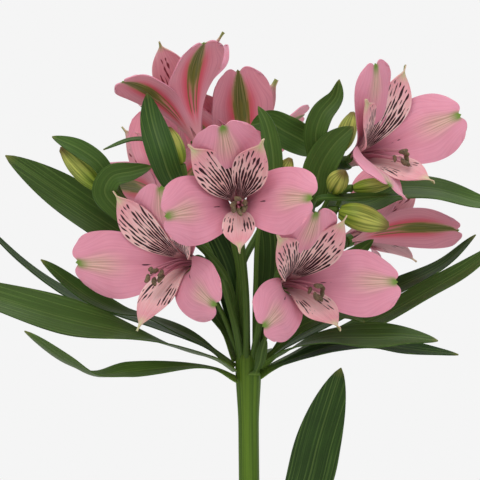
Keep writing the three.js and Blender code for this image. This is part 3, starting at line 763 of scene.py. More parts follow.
@dataclass(frozen=True)
class GrainFinish(Finish):
    """A dull grainy solid, such as fired clay, crumbly soil, bark or dusty pollen.

    Its grain is noise on the piece's own coordinates, at a size in millimetres.
    """

    light: str
    dark: str
    bloom: str
    grain: float
    roughness: float
    relief: float
    bloom_share: float = 0.0

    @property
    def skin(self) -> Skin:
        """Return a dull skin that lets no light through."""
        return Skin(self.roughness, self.relief, 0.6, 0.3, glow=0.0)

    def layers(self, tree: Tree) -> Layers:
        """Return the grain, and the bloom in clouds twelve times as wide."""
        spot = add_node(tree, "ShaderNodeTexCoord", out="Object")
        size = 1.0 / (self.grain * MM)
        grain = add_node(tree, "ShaderNodeTexNoise", {"Vector": spot, "Scale": size, "Detail": 4.0})
        clouds = add_node(tree, "ShaderNodeTexNoise", {"Vector": spot, "Scale": size / 12.0, "Detail": 3.0})
        bloom = Coat(clouds, self.bloom, 0.48, 0.7, most=self.bloom_share)
        return self.light, [Coat(grain, self.dark, 0.35, 0.65), bloom], grain


class Look(Enum):
    """Every look of the plant and its pot."""

    # Clear pink with a pale middle band and a leaf-green point
    OUTER = PetalFace("petal, outer, upper side")
    # Pink over cream between the streaks, with a pale green point
    INNER = PetalFace("petal, inner, upper side", "#e3a0aa", "#d07c8b", "#f6dcd6", "#e8b8b4", "#c3cb93")
    # A dark olive patch on a red flush, which closed the bud before it opened
    OUTER_BACK = PetalBack("petal, outer, underside")
    # The streaks show through as dark red dashes, and the point is a green thread
    INNER_BACK = PetalBack(
        "petal, inner, underside", "#dca2aa", "#c98391", "#a8ab70", "#7d8a48", "#cf7f8a", "#7a303c",
        dashed=True,
    )
    # Soft dusky pink threads
    FILAMENT = StalkFinish("stamen thread", "#cf93a0", "#b46f82", "#a05a6c")
    # Pollen sacs before they open, dull brown and slate
    ANTHER = GrainFinish("pollen sac", "#7a664c", "#4d4238", "#958a62", 0.6, 0.7, 0.1, 0.5)
    # Bright, firm and faintly ribbed by its fibres
    STEM = StalkFinish("stem skin")
    # Duller than the stem, dark on the seed cases, with painted shade down one side
    RAY = StalkFinish("stalk skin", "#5f7c36", "#37521f", "#2a421b")
    # Deep green under wax, with fine pale veins
    LEAF = LeafFinish("leaf, waxy face")
    # Paler, where the wax is thin
    LEAF_BACK = LeafFinish("leaf, dull face", "#3f5a28", "#28401b")
    # Fresh green with veins closer together
    BRACT = LeafFinish("young leaf, waxy face", "#446427", "#284519", vein_gap=0.6)
    # A little paler, where the wax is thin
    BRACT_BACK = LeafFinish("young leaf, dull face", "#4f6b31", "#344e22", vein_gap=0.6)
    # Lime green, taut and softly shining
    BUD = BudFinish("closed bud")
    # Unglazed clay: matt, sandy, with pale salts
    CLAY = GrainFinish("terracotta", "#bd7452", "#a75f41", "#cb9c80", 0.9, 0.85, 0.12, 0.35)
    # Moist peat: nearly black, matt and crumbly
    SOIL = GrainFinish("potting soil", "#3d2c20", "#1f1610", "#4d3a2a", 1.4, 0.95, 0.8, 0.4)
    # Brown chips with a torn grain
    BARK = GrainFinish("composted bark", "#6b4a32", "#3d2819", "#7d6046", 0.8, 0.9, 0.3, 0.4)
    # White volcanic grains, chalky and dull
    GRIT = GrainFinish("perlite", "#e4dfd3", "#c8c1b2", "#f0ece2", 0.7, 0.9, 0.2, 0.3)


@cache
def dressing(look: Look) -> bpy.types.Material:
    """Return a look's material, built when it is first worn."""
    return look.value.material()


@dataclass(frozen=True)
class TepalKind:
    """The outline of one kind of tepal, in millimetres and degrees.

    root is its distance from the flower's axis, opens the lean at its claw and at its tip, widest the
    share of its length at which it is widest, and curl the radius to which its limb bends back.
    """

    root: float
    length: float
    width: float
    opens: Pair
    widest: float
    taper: float
    end: float
    curl: float
    rows: int = 34
    columns: int = 18
    claw: float = 0.9
    point_start: float = 0.0

    def half_width(self, t: float) -> float:
        """Return half the width at a share of the length: claw, limb and rounded or thread-like end."""
        limb = self.width / 2 - self.claw
        if t < self.widest:
            return self.claw + limb * math.sin(0.5 * math.pi * t / self.widest) ** self.taper
        if not self.point_start:
            fall = (t - self.widest) / (1.0 - self.widest)
            return self.width / 2 * lerp(self.end, 1.0, math.sqrt(max(1.0 - fall * fall, 0.0)))
        fall = min((t - self.widest) / (self.point_start - self.widest), 1.0)
        thread = lerp(0.62, 0.2, smooth(t, self.point_start - 0.04, 1.0))
        return max(self.width / 2 * (1.0 - fall**1.9), thread)

    def fan(self, t: float) -> float:
        """Return the half width that the fanning streaks would fill, which never narrows again."""
        if t < self.widest:
            return self.half_width(t)
        return self.width / 2 * (1.0 + 1.4 * (t - self.widest))

    def meridian(self, t: float) -> float:
        """Return the half width that the fine veins fill, which draw together at both ends."""
        if t < self.widest:
            return self.half_width(t)
        return self.width / 2 * (1.0 - 0.55 * smooth(t, self.widest, 1.0))


OUTER = TepalKind(2.5, 46.0, 27.0, (12.0, 72.0), 0.7, 1.6, 0.61, 30.0, rows=36, columns=24)
INNER = TepalKind(1.7, 46.0, 14.5, (9.0, 52.0), 0.64, 2.3, 0.1, -26.0, point_start=0.945)
LOWER = TepalKind(1.7, 43.0, 14.5, (12.0, 64.0), 0.6, 2.0, 0.1, 60.0, point_start=0.94)
TEPALS = (
    ("top", 0.0, OUTER),
    ("left", 103.0, OUTER),
    ("right", -103.0, OUTER),
    ("innerLeft", 40.0, INNER),
    ("innerRight", -40.0, INNER),
    ("low", 180.0, LOWER),
)


@dataclass(frozen=True)
class Midrib:
    """The middle line of a tepal in its flower's own frame: an even arc away from the axis.

    start is the lean at the claw and swing what is added to it up to the end, turn is the place round
    the axis, all in radians, and bow is how far sideways the end is bent, in millimetres.
    """

    root: float
    length: float
    start: float
    swing: float
    turn: float
    bow: float

    def lean(self, t: float) -> float:
        """Return the lean at a share of the length."""
        return self.start + self.swing * t

    def radius(self, t: float) -> float:
        """Return the distance from the axis at a share of the length."""
        return self.root + self.length / self.swing * (math.cos(self.start) - math.cos(self.lean(t)))

    def outwards(self) -> Vector:
        """Return the direction away from the axis."""
        return Vector((-math.sin(self.turn), math.cos(self.turn), 0.0))

    def sideways(self) -> Vector:
        """Return the direction round the axis."""
        return Vector((math.cos(self.turn), math.sin(self.turn), 0.0))

    def at(self, t: float) -> Vector:
        """Return the spot at a share of the length."""
        rise = self.length / self.swing * (math.sin(self.lean(t)) - math.sin(self.start))
        spot = self.outwards() * self.radius(t) + self.sideways() * (self.bow * t**3)
        return spot + UP * rise


@dataclass(frozen=True)
class Flower:
    """One flower: how it stands, how far it is open, and its six tepals, stamens and style.

    mid is a point on its stalk and foot the bottom of its funnel. bearing is the way that it faces, 0
    at the viewer and 90 to the right, lift its upward tilt and roll its turn about its own axis.
    tips gives where the photograph shows the ends of the tepals, across and up from the whorl in mm on
    the plane through the stem; a tepal with no tip there keeps its kind's opening. twist turns a tepal
    about its midrib, in degrees, bow bends the midrib sideways, and girth and longer make a tepal wider
    and longer by a share.
    """

    name: str
    mid: Triple
    foot: Triple
    bearing: float
    lift: float
    roll: float
    opening: float = 1.0
    tips: dict[str, Pair] = field(default_factory=dict)
    twist: dict[str, float] = field(default_factory=dict)
    bow: dict[str, float] = field(default_factory=dict)
    girth: dict[str, float] = field(default_factory=dict)
    longer: dict[str, float] = field(default_factory=dict)
    droop: float = 5.0
    reach: float = 28.0
    wall: float = 0.5

    def axis(self) -> Vector:
        """Return the way that the flower faces."""
        turn, rise = math.radians(self.bearing), math.radians(self.lift)
        return Vector((math.sin(turn) * math.cos(rise), -math.cos(turn) * math.cos(rise), math.sin(rise)))

    def stance(self) -> Matrix:
        """Return the placement that takes the flower's own frame to its foot on the plant."""
        axis = self.axis()
        top = (UP - axis * UP.dot(axis)).normalized()
        top.rotate(Matrix.Rotation(math.radians(self.roll), 3, axis))
        right = top.cross(axis)
        turn = Matrix((right, top, axis)).transposed().to_4x4()
        return Matrix.Translation(WHORL + Vector(self.foot)) @ turn

    def midrib(self, index: int, extra: float, shift: float) -> Midrib:
        """Return the middle line of a tepal that is laid in a given way.

        Args:
            index: the tepal's place in the list of tepals.
            extra: how much further than its kind it opens, in degrees.
            shift: how much further round the axis it stands, in degrees.

        Returns:
            The line in the flower's own frame.
        """
        key, angle, kind = TEPALS[index]
        start = math.radians(kind.opens[0] * self.opening)
        end = math.radians(kind.opens[1] * self.opening + extra)
        length = kind.length * (1.0 + self.longer.get(key, 0.0))
        bow = self.bow.get(key, 0.0)
        return Midrib(kind.root, length, start, end - start, math.radians(angle + shift), bow)

    def seen_tip(self, index: int, extra: float, shift: float) -> Vector:
        """Return where the eye sees the end of a tepal, on the upright plane through the stem.

        Args:
            index: the tepal's place in the list of tepals.
            extra: how much further than its kind it opens, in degrees.
            shift: how much further round the axis it stands, in degrees.

        Returns:
            The place across and up from the whorl, in millimetres.
        """
        end = self.stance() @ self.midrib(index, extra, shift).at(1.0) - WHORL
        side, distance, height = EYE
        nearness = distance / (distance + end.y)
        return Vector((side + (end.x - side) * nearness, height + (end.z - height) * nearness))

    def lay(self, index: int) -> Pair:
        """Work out how a tepal is laid so that the eye sees its end at its place in tips.

        Both turns go in small damped steps from the kind's own until the end lies there.

        Args:
            index: the tepal's place in the list of tepals.

        Returns:
            How much further than its kind it opens, and how much further round it stands, in degrees.
        """
        extra = shift = 0.0
        goal = self.tips.get(TEPALS[index][0])
        if goal is None:
            return extra, shift
        trial, stride, damping, rounds = 0.5, 5.0, 0.01, 60
        for _ in range(rounds):
            now = self.seen_tip(index, extra, shift)
            opened = (self.seen_tip(index, extra + trial, shift) - now) / trial
            moved = (self.seen_tip(index, extra, shift + trial) - now) / trial
            miss = Vector(goal) - now
            near = opened.dot(opened) + damping
            far = moved.dot(moved) + damping
            cross = opened.dot(moved)
            spread = near * far - cross * cross
            turn = (far * opened.dot(miss) - cross * moved.dot(miss)) / spread
            slide = (near * moved.dot(miss) - cross * opened.dot(miss)) / spread
            share = min(1.0, stride / max(abs(turn), abs(slide), stride / 2))
            extra += turn * share
            shift += slide * share
        return extra, shift

    def tepal(self, index: int) -> Piece:
        """Lay one tepal.

        Args:
            index: its place in the list of tepals.

        Returns:
            The tepal, with its thickness.
        """
        key, _, kind = TEPALS[index]
        stance = self.stance()
        midrib = self.midrib(index, *self.lay(index))
        outwards, sideways = midrib.outwards(), midrib.sideways()
        twist = math.radians(self.twist.get(key, 0.0))
        girth = 1.0 + self.girth.get(key, 0.0)
        phase = 2.4 * index + len(self.name)
        tone = (0.37 * index + 0.13 * len(self.name) + 0.01 * self.foot[0]) % 1.0
        broad = kind is OUTER

        def drawn_in(v: float) -> float:
            """Return the place across, with the columns of a broad tepal drawn in to its midrib."""
            return math.copysign(abs(v) ** (1.35 if broad else 1.0), v)

        def tip_reach(t: float, v: float) -> float:
            """Return how far the end runs on past the length: two shoulders, a notch and a point."""
            if not broad:
                return 0.0
            shoulders = 2.6 - 3.6 * v**4
            notch = 1.3 * bell(v, 0.06) - 2.3 * bell(v, 0.24)
            return shoulders * smooth(t, 0.75, 1.0) + notch * smooth(t, 0.92, 1.0)

        def place(t: float, v: float) -> Vector:
            """Return the spot's place in the row frame."""
            v = drawn_in(v)
            lean = midrib.lean(t)
            forwards = outwards * math.sin(lean) + UP * math.cos(lean)
            inwards = UP * math.sin(lean) - outwards * math.cos(lean)
            spin = Matrix.Rotation(twist * t * t, 3, forwards)
            across = v * kind.half_width(t) * girth
            bend = lerp(1.0 / max(midrib.radius(t), 2.0), -1.0 / kind.curl, smooth(t, 0.15, 0.8))
            ripple = 0.9 * math.sin(2.6 * math.pi * t + phase + 1.3 * v) * abs(v) ** 3 * smooth(t, 0.3, 0.8)
            crease = -0.5 * bell(v, 0.12) * smooth(t, 0.2, 0.5) * fade(t, 0.75, 0.97)
            lifted = bend * across * across / 2 + ripple + crease
            spot = midrib.at(t) + forwards * tip_reach(t, v)
            return stance @ (spot + (spin @ sideways) * across + (spin @ inwards) * lifted)

        def marks(t: float, v: float) -> Marks:
            """Return the spot's veins, streaks and tints."""
            v = drawn_in(v)
            wide = abs(v)
            across = v * kind.half_width(t)
            # Painted shade in the throat, full at the claw and gone by two fifths of the length
            painted_throat_shade = (0.7 if broad else 0.4) * fade(t, 0.08, 0.42)
            if broad:
                lens = 0.1 + 0.24 * smooth(1.0 - t, 0.0, 0.24)
                point = smooth(t, 0.86, 0.97) * fade(wide, 0.06, 0.26)
                band = 0.8 * smooth(t, 0.5, 0.9) * fade(wide, 0.1 * lens, 1.6 * lens)
                spots = smooth(t, 0.3, 0.35) * fade(t, 0.44, 0.5)
                streak = 0.75 * spots * fade(wide, 0.01, 0.07)
                patch = 0.09 + 0.2 * smooth(1.0 - t, 0.0, 0.2) * smooth(t, 0.3, 0.75)
                olive = smooth(t, 0.3, 0.62) * fade(wide, 0.5 * patch, 1.25 * patch)
                beside = bell(wide - 0.26, 0.24)
                flush = 0.85 * beside * smooth(t, 0.06, 0.3) * fade(t, 0.72, 0.96)
                core = fade(wide, 0.22, 0.42)
                line = 0.9 * core * smooth(t, 0.1, 0.3) * fade(t, 0.7, 0.9)
                lanes = 4.5
            else:
                rich = kind is INNER
                point = smooth(t, 0.82, 0.95) * (1.0 - 0.5 * wide)
                band = (0.85 if rich else 0.7) * smooth(t, 0.08, 0.22) * fade(t, 0.5, 0.9)
                ink = lerp(1.0, 0.62, smooth(t, 0.3, 0.86)) * fade(t, 0.82, 0.9)
                few = 0.72 * smooth(t, 0.34, 0.46) * fade(t, 0.66, 0.8) * smooth(wide, 0.12, 0.3)
                streak = ink * smooth(t, 0.12, 0.24) if rich else few
                streak *= 1.0 - 0.35 * smooth(wide, 0.82, 1.0)
                olive = smooth(t, 0.88, 0.97)
                flush = 0.5 * fade(t, 0.2, 0.8)
                line = 0.85 * streak
                lanes = 5.5
            return Marks(
                (v * kind.width / 2 * kind.half_width(t) / kind.meridian(t), t * kind.length),
                (across / kind.fan(t) * lanes, t * kind.length / STREAK_RUN),
                (point, band, painted_throat_shade, streak),
                (olive, flush, line, 0.5 * fade(t, 0.05, 0.3)),
            )

        looks = (Look.OUTER, Look.OUTER_BACK) if broad else (Look.INNER, Look.INNER_BACK)
        piece = lay_sheet(f"{self.name}_{key}", kind.rows, kind.columns, place, looks, marks, tone)
        thicken(piece, self.wall)
        return piece

    def stamens(self) -> list[Piece]:
        """Lay the six threads with their pollen sacs, the style and the seat that they stand in.

        Returns:
            The small pieces.
        """
        stance = self.stance()
        made: list[Piece] = []
        spread, droop = 2.5 * self.opening, self.droop * self.opening**2

        def line(*stops: Sequence[float]) -> Spline:
            """Return the curve through stops in the flower's own frame."""
            return Spline([stance @ Vector(stop) for stop in stops])

        def sac_radius(t: float, turn: float) -> float:
            """Return the radius of a pollen sac, grooved along both flat sides."""
            oval = math.sqrt(max(1.0 - (2.0 * t - 1.0) ** 2, 0.02))
            return 0.85 * oval * (1.0 + 0.2 * math.cos(2.0 * turn))

        for index in range(6):
            turn = math.tau * (index + 0.5) / 6
            reach = self.reach + 3.0 * math.sin(index * 2.4)
            x, y = math.cos(turn), math.sin(turn)
            tip = Vector((x * spread, y * spread - droop, reach))
            bend = (x * spread * 0.75, y * spread * 0.75 - droop * 0.6, reach * 0.8)
            rise = line((x * 0.85, y * 0.85, 0.0), (x * 1.3, y * 1.3 - droop * 0.1, reach * 0.4), bend, tip)
            thread = f"{self.name}_thread_{index}"
            made.append(lay_tube(thread, rise, lambda t, _: lerp(0.5, 0.3, t), 14, 8, Look.FILAMENT))
            lean = Vector((0.6 * math.sin(index * 2.1), -0.7 + 0.5 * y, 0.5)).normalized()
            hook = lean.cross(Vector((x, y, 0.3))).normalized() * (0.9 if index % 2 else -0.7)
            sac = line(tip - lean * 2.0, tip + hook, tip + lean * 2.0)
            made.append(lay_tube(f"{self.name}_sac_{index}", sac, sac_radius, 14, 12, Look.ANTHER))
        style = line((0, 0, 0), (0, -1, 13), (0, -2.4, 21))
        made.append(
            lay_tube(f"{self.name}_style", style, lambda t, _: lerp(0.4, 0.6, t), 12, 8, Look.FILAMENT)
        )
        # The seat fills the space from the seed case up to where the six claws part
        seat = line(*((0.0, 0.0, height) for height in (-1.9, -0.5, 0.6, 1.8)))
        made.append(lay_tube(f"{self.name}_seat", seat, lambda t, _: lerp(2.55, 2.95, t), 8, 24, Look.RAY))
        return made

    def build(self) -> None:
        """Build the flower and let it stand for its solid."""
        tepals = join([self.tepal(index) for index in range(len(TEPALS))], f"{self.name}_tepals")
        stamens = join(self.stamens(), f"{self.name}_stamens")
        stand_for(tepals, self.name, 70.0)
        stand_for(stamens, self.name)

    def stalk(self, ring: float, ovary: float) -> Spline:
        """Return the middle line of the ray under the flower.

        Args:
            ring: the radius of the ring on which the rays start.
            ovary: the length of the seed case.

        Returns:
            The line up to the top of the seed case.
        """
        axis = self.axis()
        top = Vector(self.foot) - axis * 1.5
        root = Vector((self.mid[0], self.mid[1], 0.0)).normalized() * ring
        stops = [root, Vector(self.mid), top - axis * 2 * ovary, top - axis * ovary, top]
        return Spline([WHORL + stop for stop in stops])


FLOWERS = (
    Flower(
        "bloom_front", (-1, -6, 28), (-4, -27, 62), 0, 10, 5,
        tips={"top": (-10, 93.5), "left": (-32, 58.5), "right": (24.5, 65.5), "innerLeft": (-24, 87),
              "innerRight": (6, 89), "low": (-3.5, 44)},
        twist={"left": -25, "right": -10}, girth={"low": -0.12},
    ),
    Flower(
        "bloom_left", (-6, -4, 18), (-22, -12, 40), -30, 0, -5,
        tips={"top": (-34.5, 69), "left": (-69, 40), "right": (-13.5, 23.5), "innerLeft": (-54, 68.5),
              "innerRight": (-23, 60.5), "low": (-44.5, 12.5)},
        twist={"top": 10, "left": -10, "right": 15}, bow={"left": 4, "right": -3},
        girth={"top": 0.1, "right": -0.1}, longer={"top": -0.18},
    ),
    Flower(
        "bloom_right", (4, -5, 13), (14, -12, 31), 25, 5, 15,
        tips={"top": (27, 59), "left": (6.5, 15), "right": (60.5, 32), "innerLeft": (11.5, 51),
              "innerRight": (39.5, 58.5), "low": (37, 13)},
        twist={"top": -5, "left": -15, "right": -20, "low": -10}, bow={"left": 3},
        girth={"top": -0.1, "left": -0.1},
    ),
    Flower(
        "bloom_upper_right", (14, 6, 40), (42, 5, 81), 35, 15, 25,
        tips={"top": (51, 118), "left": (56.5, 71), "right": (84, 98.5), "innerLeft": (47, 105),
              "innerRight": (63.5, 120), "low": (74.5, 72)},
        twist={"right": -5}, girth={"top": -0.25}, droop=8.0,
    ),
    Flower(
        "bloom_top", (-4, 4, 40), (-20, 4, 88), -110, 65, -30,
        tips={"top": (-18, 127), "left": (-13, 123), "right": (-49.5, 112), "innerLeft": (-9.5, 133),
              "innerRight": (-35.5, 128)},
        twist={"top": -5, "left": -10}, girth={"top": -0.1, "right": -0.35},
    ),
    Flower(
        "bloom_back", (-3, 12, 36), (2, 32, 71), -155, 55, -15,
        tips={"top": (-4, 115.5), "left": (21.5, 98.5), "right": (-30, 101), "innerLeft": (11.5, 113)},
        twist={"top": 10},
    ),
    Flower(
        "bloom_back_left", (-9, 1, 34), (-32, 0, 65), -175, 25, -15, opening=0.68,
        tips={"top": (-39.5, 99), "innerRight": (-50.5, 94)},
        girth={"top": -0.25},
    ),
    Flower(
        "bloom_back_right", (12, 8, 22), (40, 14, 48.5), 140, 15, -10, opening=0.65,
        tips={"left": (83, 52.5)},
        twist={"left": 20}, bow={"left": -6}, girth={"left": -0.35},
    ),
)


@dataclass(frozen=True)
class Bud:
    """One closed bud on its twig: where the twig forks off, its points, and the bud's ends and girth."""

    name: str
    fork: str
    at: float
    twig: tuple[Triple, ...]
    foot: Triple
    tip: Triple
    radius: float

    def stalk(self, rays: dict[str, Spline], ring: float) -> Spline:
        """Return the twig's middle line.

        Args:
            rays: the rays' middle lines by flower.
            ring: the radius of the ring on which the twigs of the whorl start.

        Returns:
            The line up to the bud's foot.
        """
        if self.fork == "whorl":
            root = WHORL + Vector((self.twig[0][0], self.twig[0][1], 0.0)).normalized() * ring
        else:
            root = rays[self.fork].at(self.at)
        foot = WHORL + Vector(self.foot)
        axis = (Vector(self.tip) - Vector(self.foot)).normalized()
        bends = [WHORL + Vector(stop) for stop in self.twig]
        return Spline([root, *bends, foot - axis * 4, foot - axis * 0.3])

    def build(self) -> None:
        """Build the bud as one spindle whose three lobes, seams and midribs show its folded tepals, and let
        it stand for its solid.
        """
        girth = (0.4, 0.74, 0.92, 1.0, 1.0, 0.93, 0.78, 0.52, 0.2)
        foot, tip = WHORL + Vector(self.foot), WHORL + Vector(self.tip)
        # The bud starts inside the swollen end of its twig
        spline = Spline([foot - (tip - foot).normalized() * 1.2, (foot + tip) / 2, tip])

        def radius(t: float, turn: float) -> float:
            """Return the radius, with three broad lobes and the narrow seams between them."""
            seam = bell(math.sin(1.5 * turn + 0.5), 0.16)
            return self.radius * along(girth, t) * (1.0 + 0.05 * math.cos(3 * turn) - 0.09 * seam)

        def zones(t: float, turn: float) -> Quad:
            """Return the dark seams and midribs, the bronze point and the pale shoulders."""
            seam = bell(math.sin(1.5 * turn + 0.5), 0.14)
            rib = 0.7 * bell(math.sin(1.5 * turn + 2.07), 0.12)
            stripes = max(seam, rib) * (1.0 - 0.6 * t)
            return (stripes, 0.85 * smooth(t, 0.74, 0.98), 0.8 * smooth(t, 0.2, 0.6), 0.0)

        bud = lay_tube(self.name + "_spindle", spline, radius, 26, 36, Look.BUD, zones)
        stand_for(bud, self.name, 80.0)


BUDS = (
    Bud("bud_right", "whorl", 0, ((14, -5, 28), (27, -9, 52)), (37, -11, 60), (56, -14, 54), 5.4),
    Bud("bud_round", "bloom_upper_right", 0.5, ((28, 0, 58),), (34, -8, 69), (38, -16, 76), 4.3),
    Bud("bud_side", "bloom_back_right", 0.62, ((34, 2, 58),), (43, -1, 69.5), (58, -5, 71.5), 3.1),
    Bud("bud_behind", "bloom_upper_right", 0.7, ((30, 13, 75),), (38, 19, 86), (43, 21, 101), 4.0),
    Bud("bud_left", "whorl", 0, ((-14, 2, 26), (-44, 1, 58)), (-59, 0, 70), (-75, -2, 86), 4.6),
    Bud("bud_upper_left", "bloom_back_left", 0.5, ((-23, -4, 62),), (-27, -5, 80), (-32, -6, 94), 3.9),
    Bud("bud_centre", "whorl", 0, ((3, -1, 30), (5, -2, 56)), (13, -4, 73), (17, -8, 81.5), 3.4),
)


@dataclass(frozen=True)
class Leaf:
    """One leaf: its midrib's points, full width, turns about the midrib in degrees, and its seat.

    level is its foot's height on the stem. A bract has the stalk that it grows on and the share of that
    stalk's length instead.
    """

    name: str
    width: float
    turn: tuple[float, ...]
    path: tuple[Triple, ...]
    level: float = 0.0
    host: str = ""
    at: float = 0.0
    face: Facing = Facing.VIEWER
    fold: float = 0.16
    wave: float = 0.05
    foot_half: float = 2.6
    wall: float = 0.5
    rows: int = 46
    columns: int = 10

    def half_width(self, t: float) -> float:
        """Return half the width: a narrow foot, a lance and an acute tip."""
        s = max((t - 0.06) / 0.94, 0.0)
        lance = s**0.95 * max(1.0 - s, 0.0) ** 0.75 / 0.327
        stalk = lerp(self.foot_half, 1.1, smooth(t, 0.0, 0.18)) * fade(t, 0.7, 1.0)
        return max(stalk, self.width / 2 * lance, 0.12)

    def build(self, seat: Vector) -> None:
        """Build the leaf from its seat and let it stand for its solid.

        Args:
            seat: where its foot meets the stalk.
        """
        midrib = Spline([seat, *(WHORL + Vector(stop) for stop in self.path)])
        facing = Vector(self.face.value)
        phase = len(self.name) + 0.1 * self.path[-1][0]

        def place(t: float, v: float) -> Vector:
            """Return the spot's place, folded along the midrib and a little wavy at the sides."""
            heading = midrib.heading(t)
            normal = (facing - heading * facing.dot(heading)).normalized()
            normal.rotate(Matrix.Rotation(math.radians(along(self.turn, t)), 3, heading))
            half = self.half_width(t)
            valley = self.fold * half * (math.sqrt(v * v + 0.02) - 0.14) * smooth(t, 0.05, 0.25)
            ripple = self.wave * half * math.sin(5.2 * math.pi * t + phase + 1.5 * v) * v * v
            arch = 0.06 * half * (1.0 - v * v) * smooth(t, 0.2, 0.6)
            return midrib.at(t) + heading.cross(normal) * (v * half) + normal * (valley + ripple - arch)

        def marks(t: float, v: float) -> Marks:
            """Return the spot's veins and tints."""
            reaches = (0.8 * smooth(t, 0.965, 1.0), 0.75 * fade(t, 0.0, 0.14), 0.0, 0.0)
            return Marks((v * self.half_width(t), t * midrib.length), zones=reaches)

        tone = (0.29 * len(self.name) + 0.017 * abs(self.path[-1][2])) % 1.0
        looks = (Look.BRACT, Look.BRACT_BACK) if self.host else (Look.LEAF, Look.LEAF_BACK)
        leaf = lay_sheet(self.name + "_blade", self.rows, self.columns, place, looks, marks, tone)
        thicken(leaf, self.wall)
        stand_for(leaf, self.name, 60.0)


WHORL_LEAVES = (
    Leaf("leaf_upper_left", 21, (60, 50, 35, 30, 30),
         ((-10, 5.5, 13), (-34, 11, 42), (-54, 13, 54), (-74, 14, 67), (-98, 14, 83)), 0.2),
    Leaf("leaf_twisted_left", 13, (60, 60, 70, 88, 62, 50, 50),
         ((-19, 2, 8), (-39, 3, 17), (-51, 3, 20), (-65, 3, 27), (-83, 2, 41)), -2),
    Leaf("leaf_back_left", 14, (90, 80, 78, 78, 82),
         ((-16, 14, 5), (-52, 30, 18), (-75, 33, 27), (-93, 33, 40), (-110, 32, 57)), -4),
    Leaf("leaf_broad_left", 19, (100, 110, 75, 42, 40, 40, 38),
         ((-12, -3, 1), (-27, -7, 5.5), (-48, -13, 12), (-72, -16, 18), (-99, -17, 26), (-122, -16, 33)),
         -3.7),
    Leaf("leaf_low_left", 13, (60, 90, 62, 60, 70, 100, 125, 125),
         ((-15, -8, -2), (-47, -19, -3), (-60, -22, -4.4), (-71, -23, 1), (-88, -23, 13)), -6.8),
    Leaf("leaf_upright_left", 15, (0, 20, 20, 10),
         ((-3.6, 10.5, 12), (-8, 14, 36), (-14, 15, 50), (-22, 15, 66)), -0.5),
    Leaf("leaf_upright_right", 15, (-30, -20, -10, 0),
         ((6.5, 10, 13), (10.5, 15, 32), (11, 15, 48), (8, 14.5, 66)), -0.2),
    Leaf("leaf_right_broad", 16, (-130, -95, -70, -52, -52, -60),
         ((12, -8, 3), (29, -14, 9.5), (51, -17, 10.5), (62, -18, 10.5), (75, -18, 9)), -2),
    Leaf("leaf_right_low", 13, (-60, -60, -60, -65, -65),
         ((9, -4, -2.5), (25, -7, 4), (35, -7, 7), (49, -6, 8), (61, -5, 6), (84, -3, 3)), -5),
    Leaf("leaf_right_rising", 15, (-90, -70, -62, -60, -62, -70),
         ((21, 3, 4.5), (50, 9, 16), (74, 11, 29), (88, 12, 37), (107, 12, 51)), -3.2),
    Leaf("leaf_back_right", 14, (-80, -65, -65, -65),
         ((14, 10.5, 5), (41, 22, 20), (60, 26, 29), (80, 28, 39), (93, 28, 51)), -1.5),
    Leaf("leaf_right_inner", 11, (-60, -55, -55, -60),
         ((12, -1.5, 6), (19, -2, 13), (29, -2, 18), (39, -2, 19.5), (47, -2, 15.5)), -0.5),
    Leaf("leaf_rear", 17, (60, 20, 0, 0),
         ((1, 16, 0.5), (2, 34, 2), (2, 56, 2.5), (1, 80, 1)), -3, face=Facing.SKY),
    Leaf("leaf_small_front", 5, (30, 20), ((4.5, -9, 0), (5.5, -9.5, 5), (7, -9, 10)), -5),
)

STEM_LEAVES = (
    Leaf("leaf_stem_1", 20, (70, 50, 20, 5, 0, 0),
         ((10, -4, -84), (17, -6, -66), (24, -8, -47), (28, -9, -31), (37, -8, -2)), -97),
    Leaf("leaf_stem_2", 19, (-170, -90, -30, -25, -20),
         ((-12, -4, -114), (-30, -8, -97), (-48, -10, -84), (-66, -11, -79), (-82, -11, -86)),
         -126, face=Facing.SKY),
    Leaf("leaf_stem_3", 19, (170, 90, 20, 20, 10),
         ((8, 9, -132), (20, 24, -116), (34, 38, -104), (48, 50, -100), (60, 60, -109)),
         -143, face=Facing.SKY),
    Leaf("leaf_stem_4", 18, (-170, -90, -15, -15, -10),
         ((-7, 9, -148), (-18, 26, -134), (-30, 44, -124), (-40, 58, -124), (-47, 70, -135)),
         -158, face=Facing.SKY),
    Leaf("leaf_stem_5", 17, (170, 90, 20, 20, 10),
         ((10, -8, -159), (26, -18, -146), (42, -27, -138), (58, -34, -139), (70, -38, -150)),
         -168, face=Facing.SKY),
    Leaf("leaf_stem_6", 15, (-170, -90, -15, -15, -10),
         ((-9, -9, -170), (-22, -22, -160), (-35, -34, -156), (-48, -44, -160), (-57, -51, -169)), -178,
         face=Facing.SKY),
)

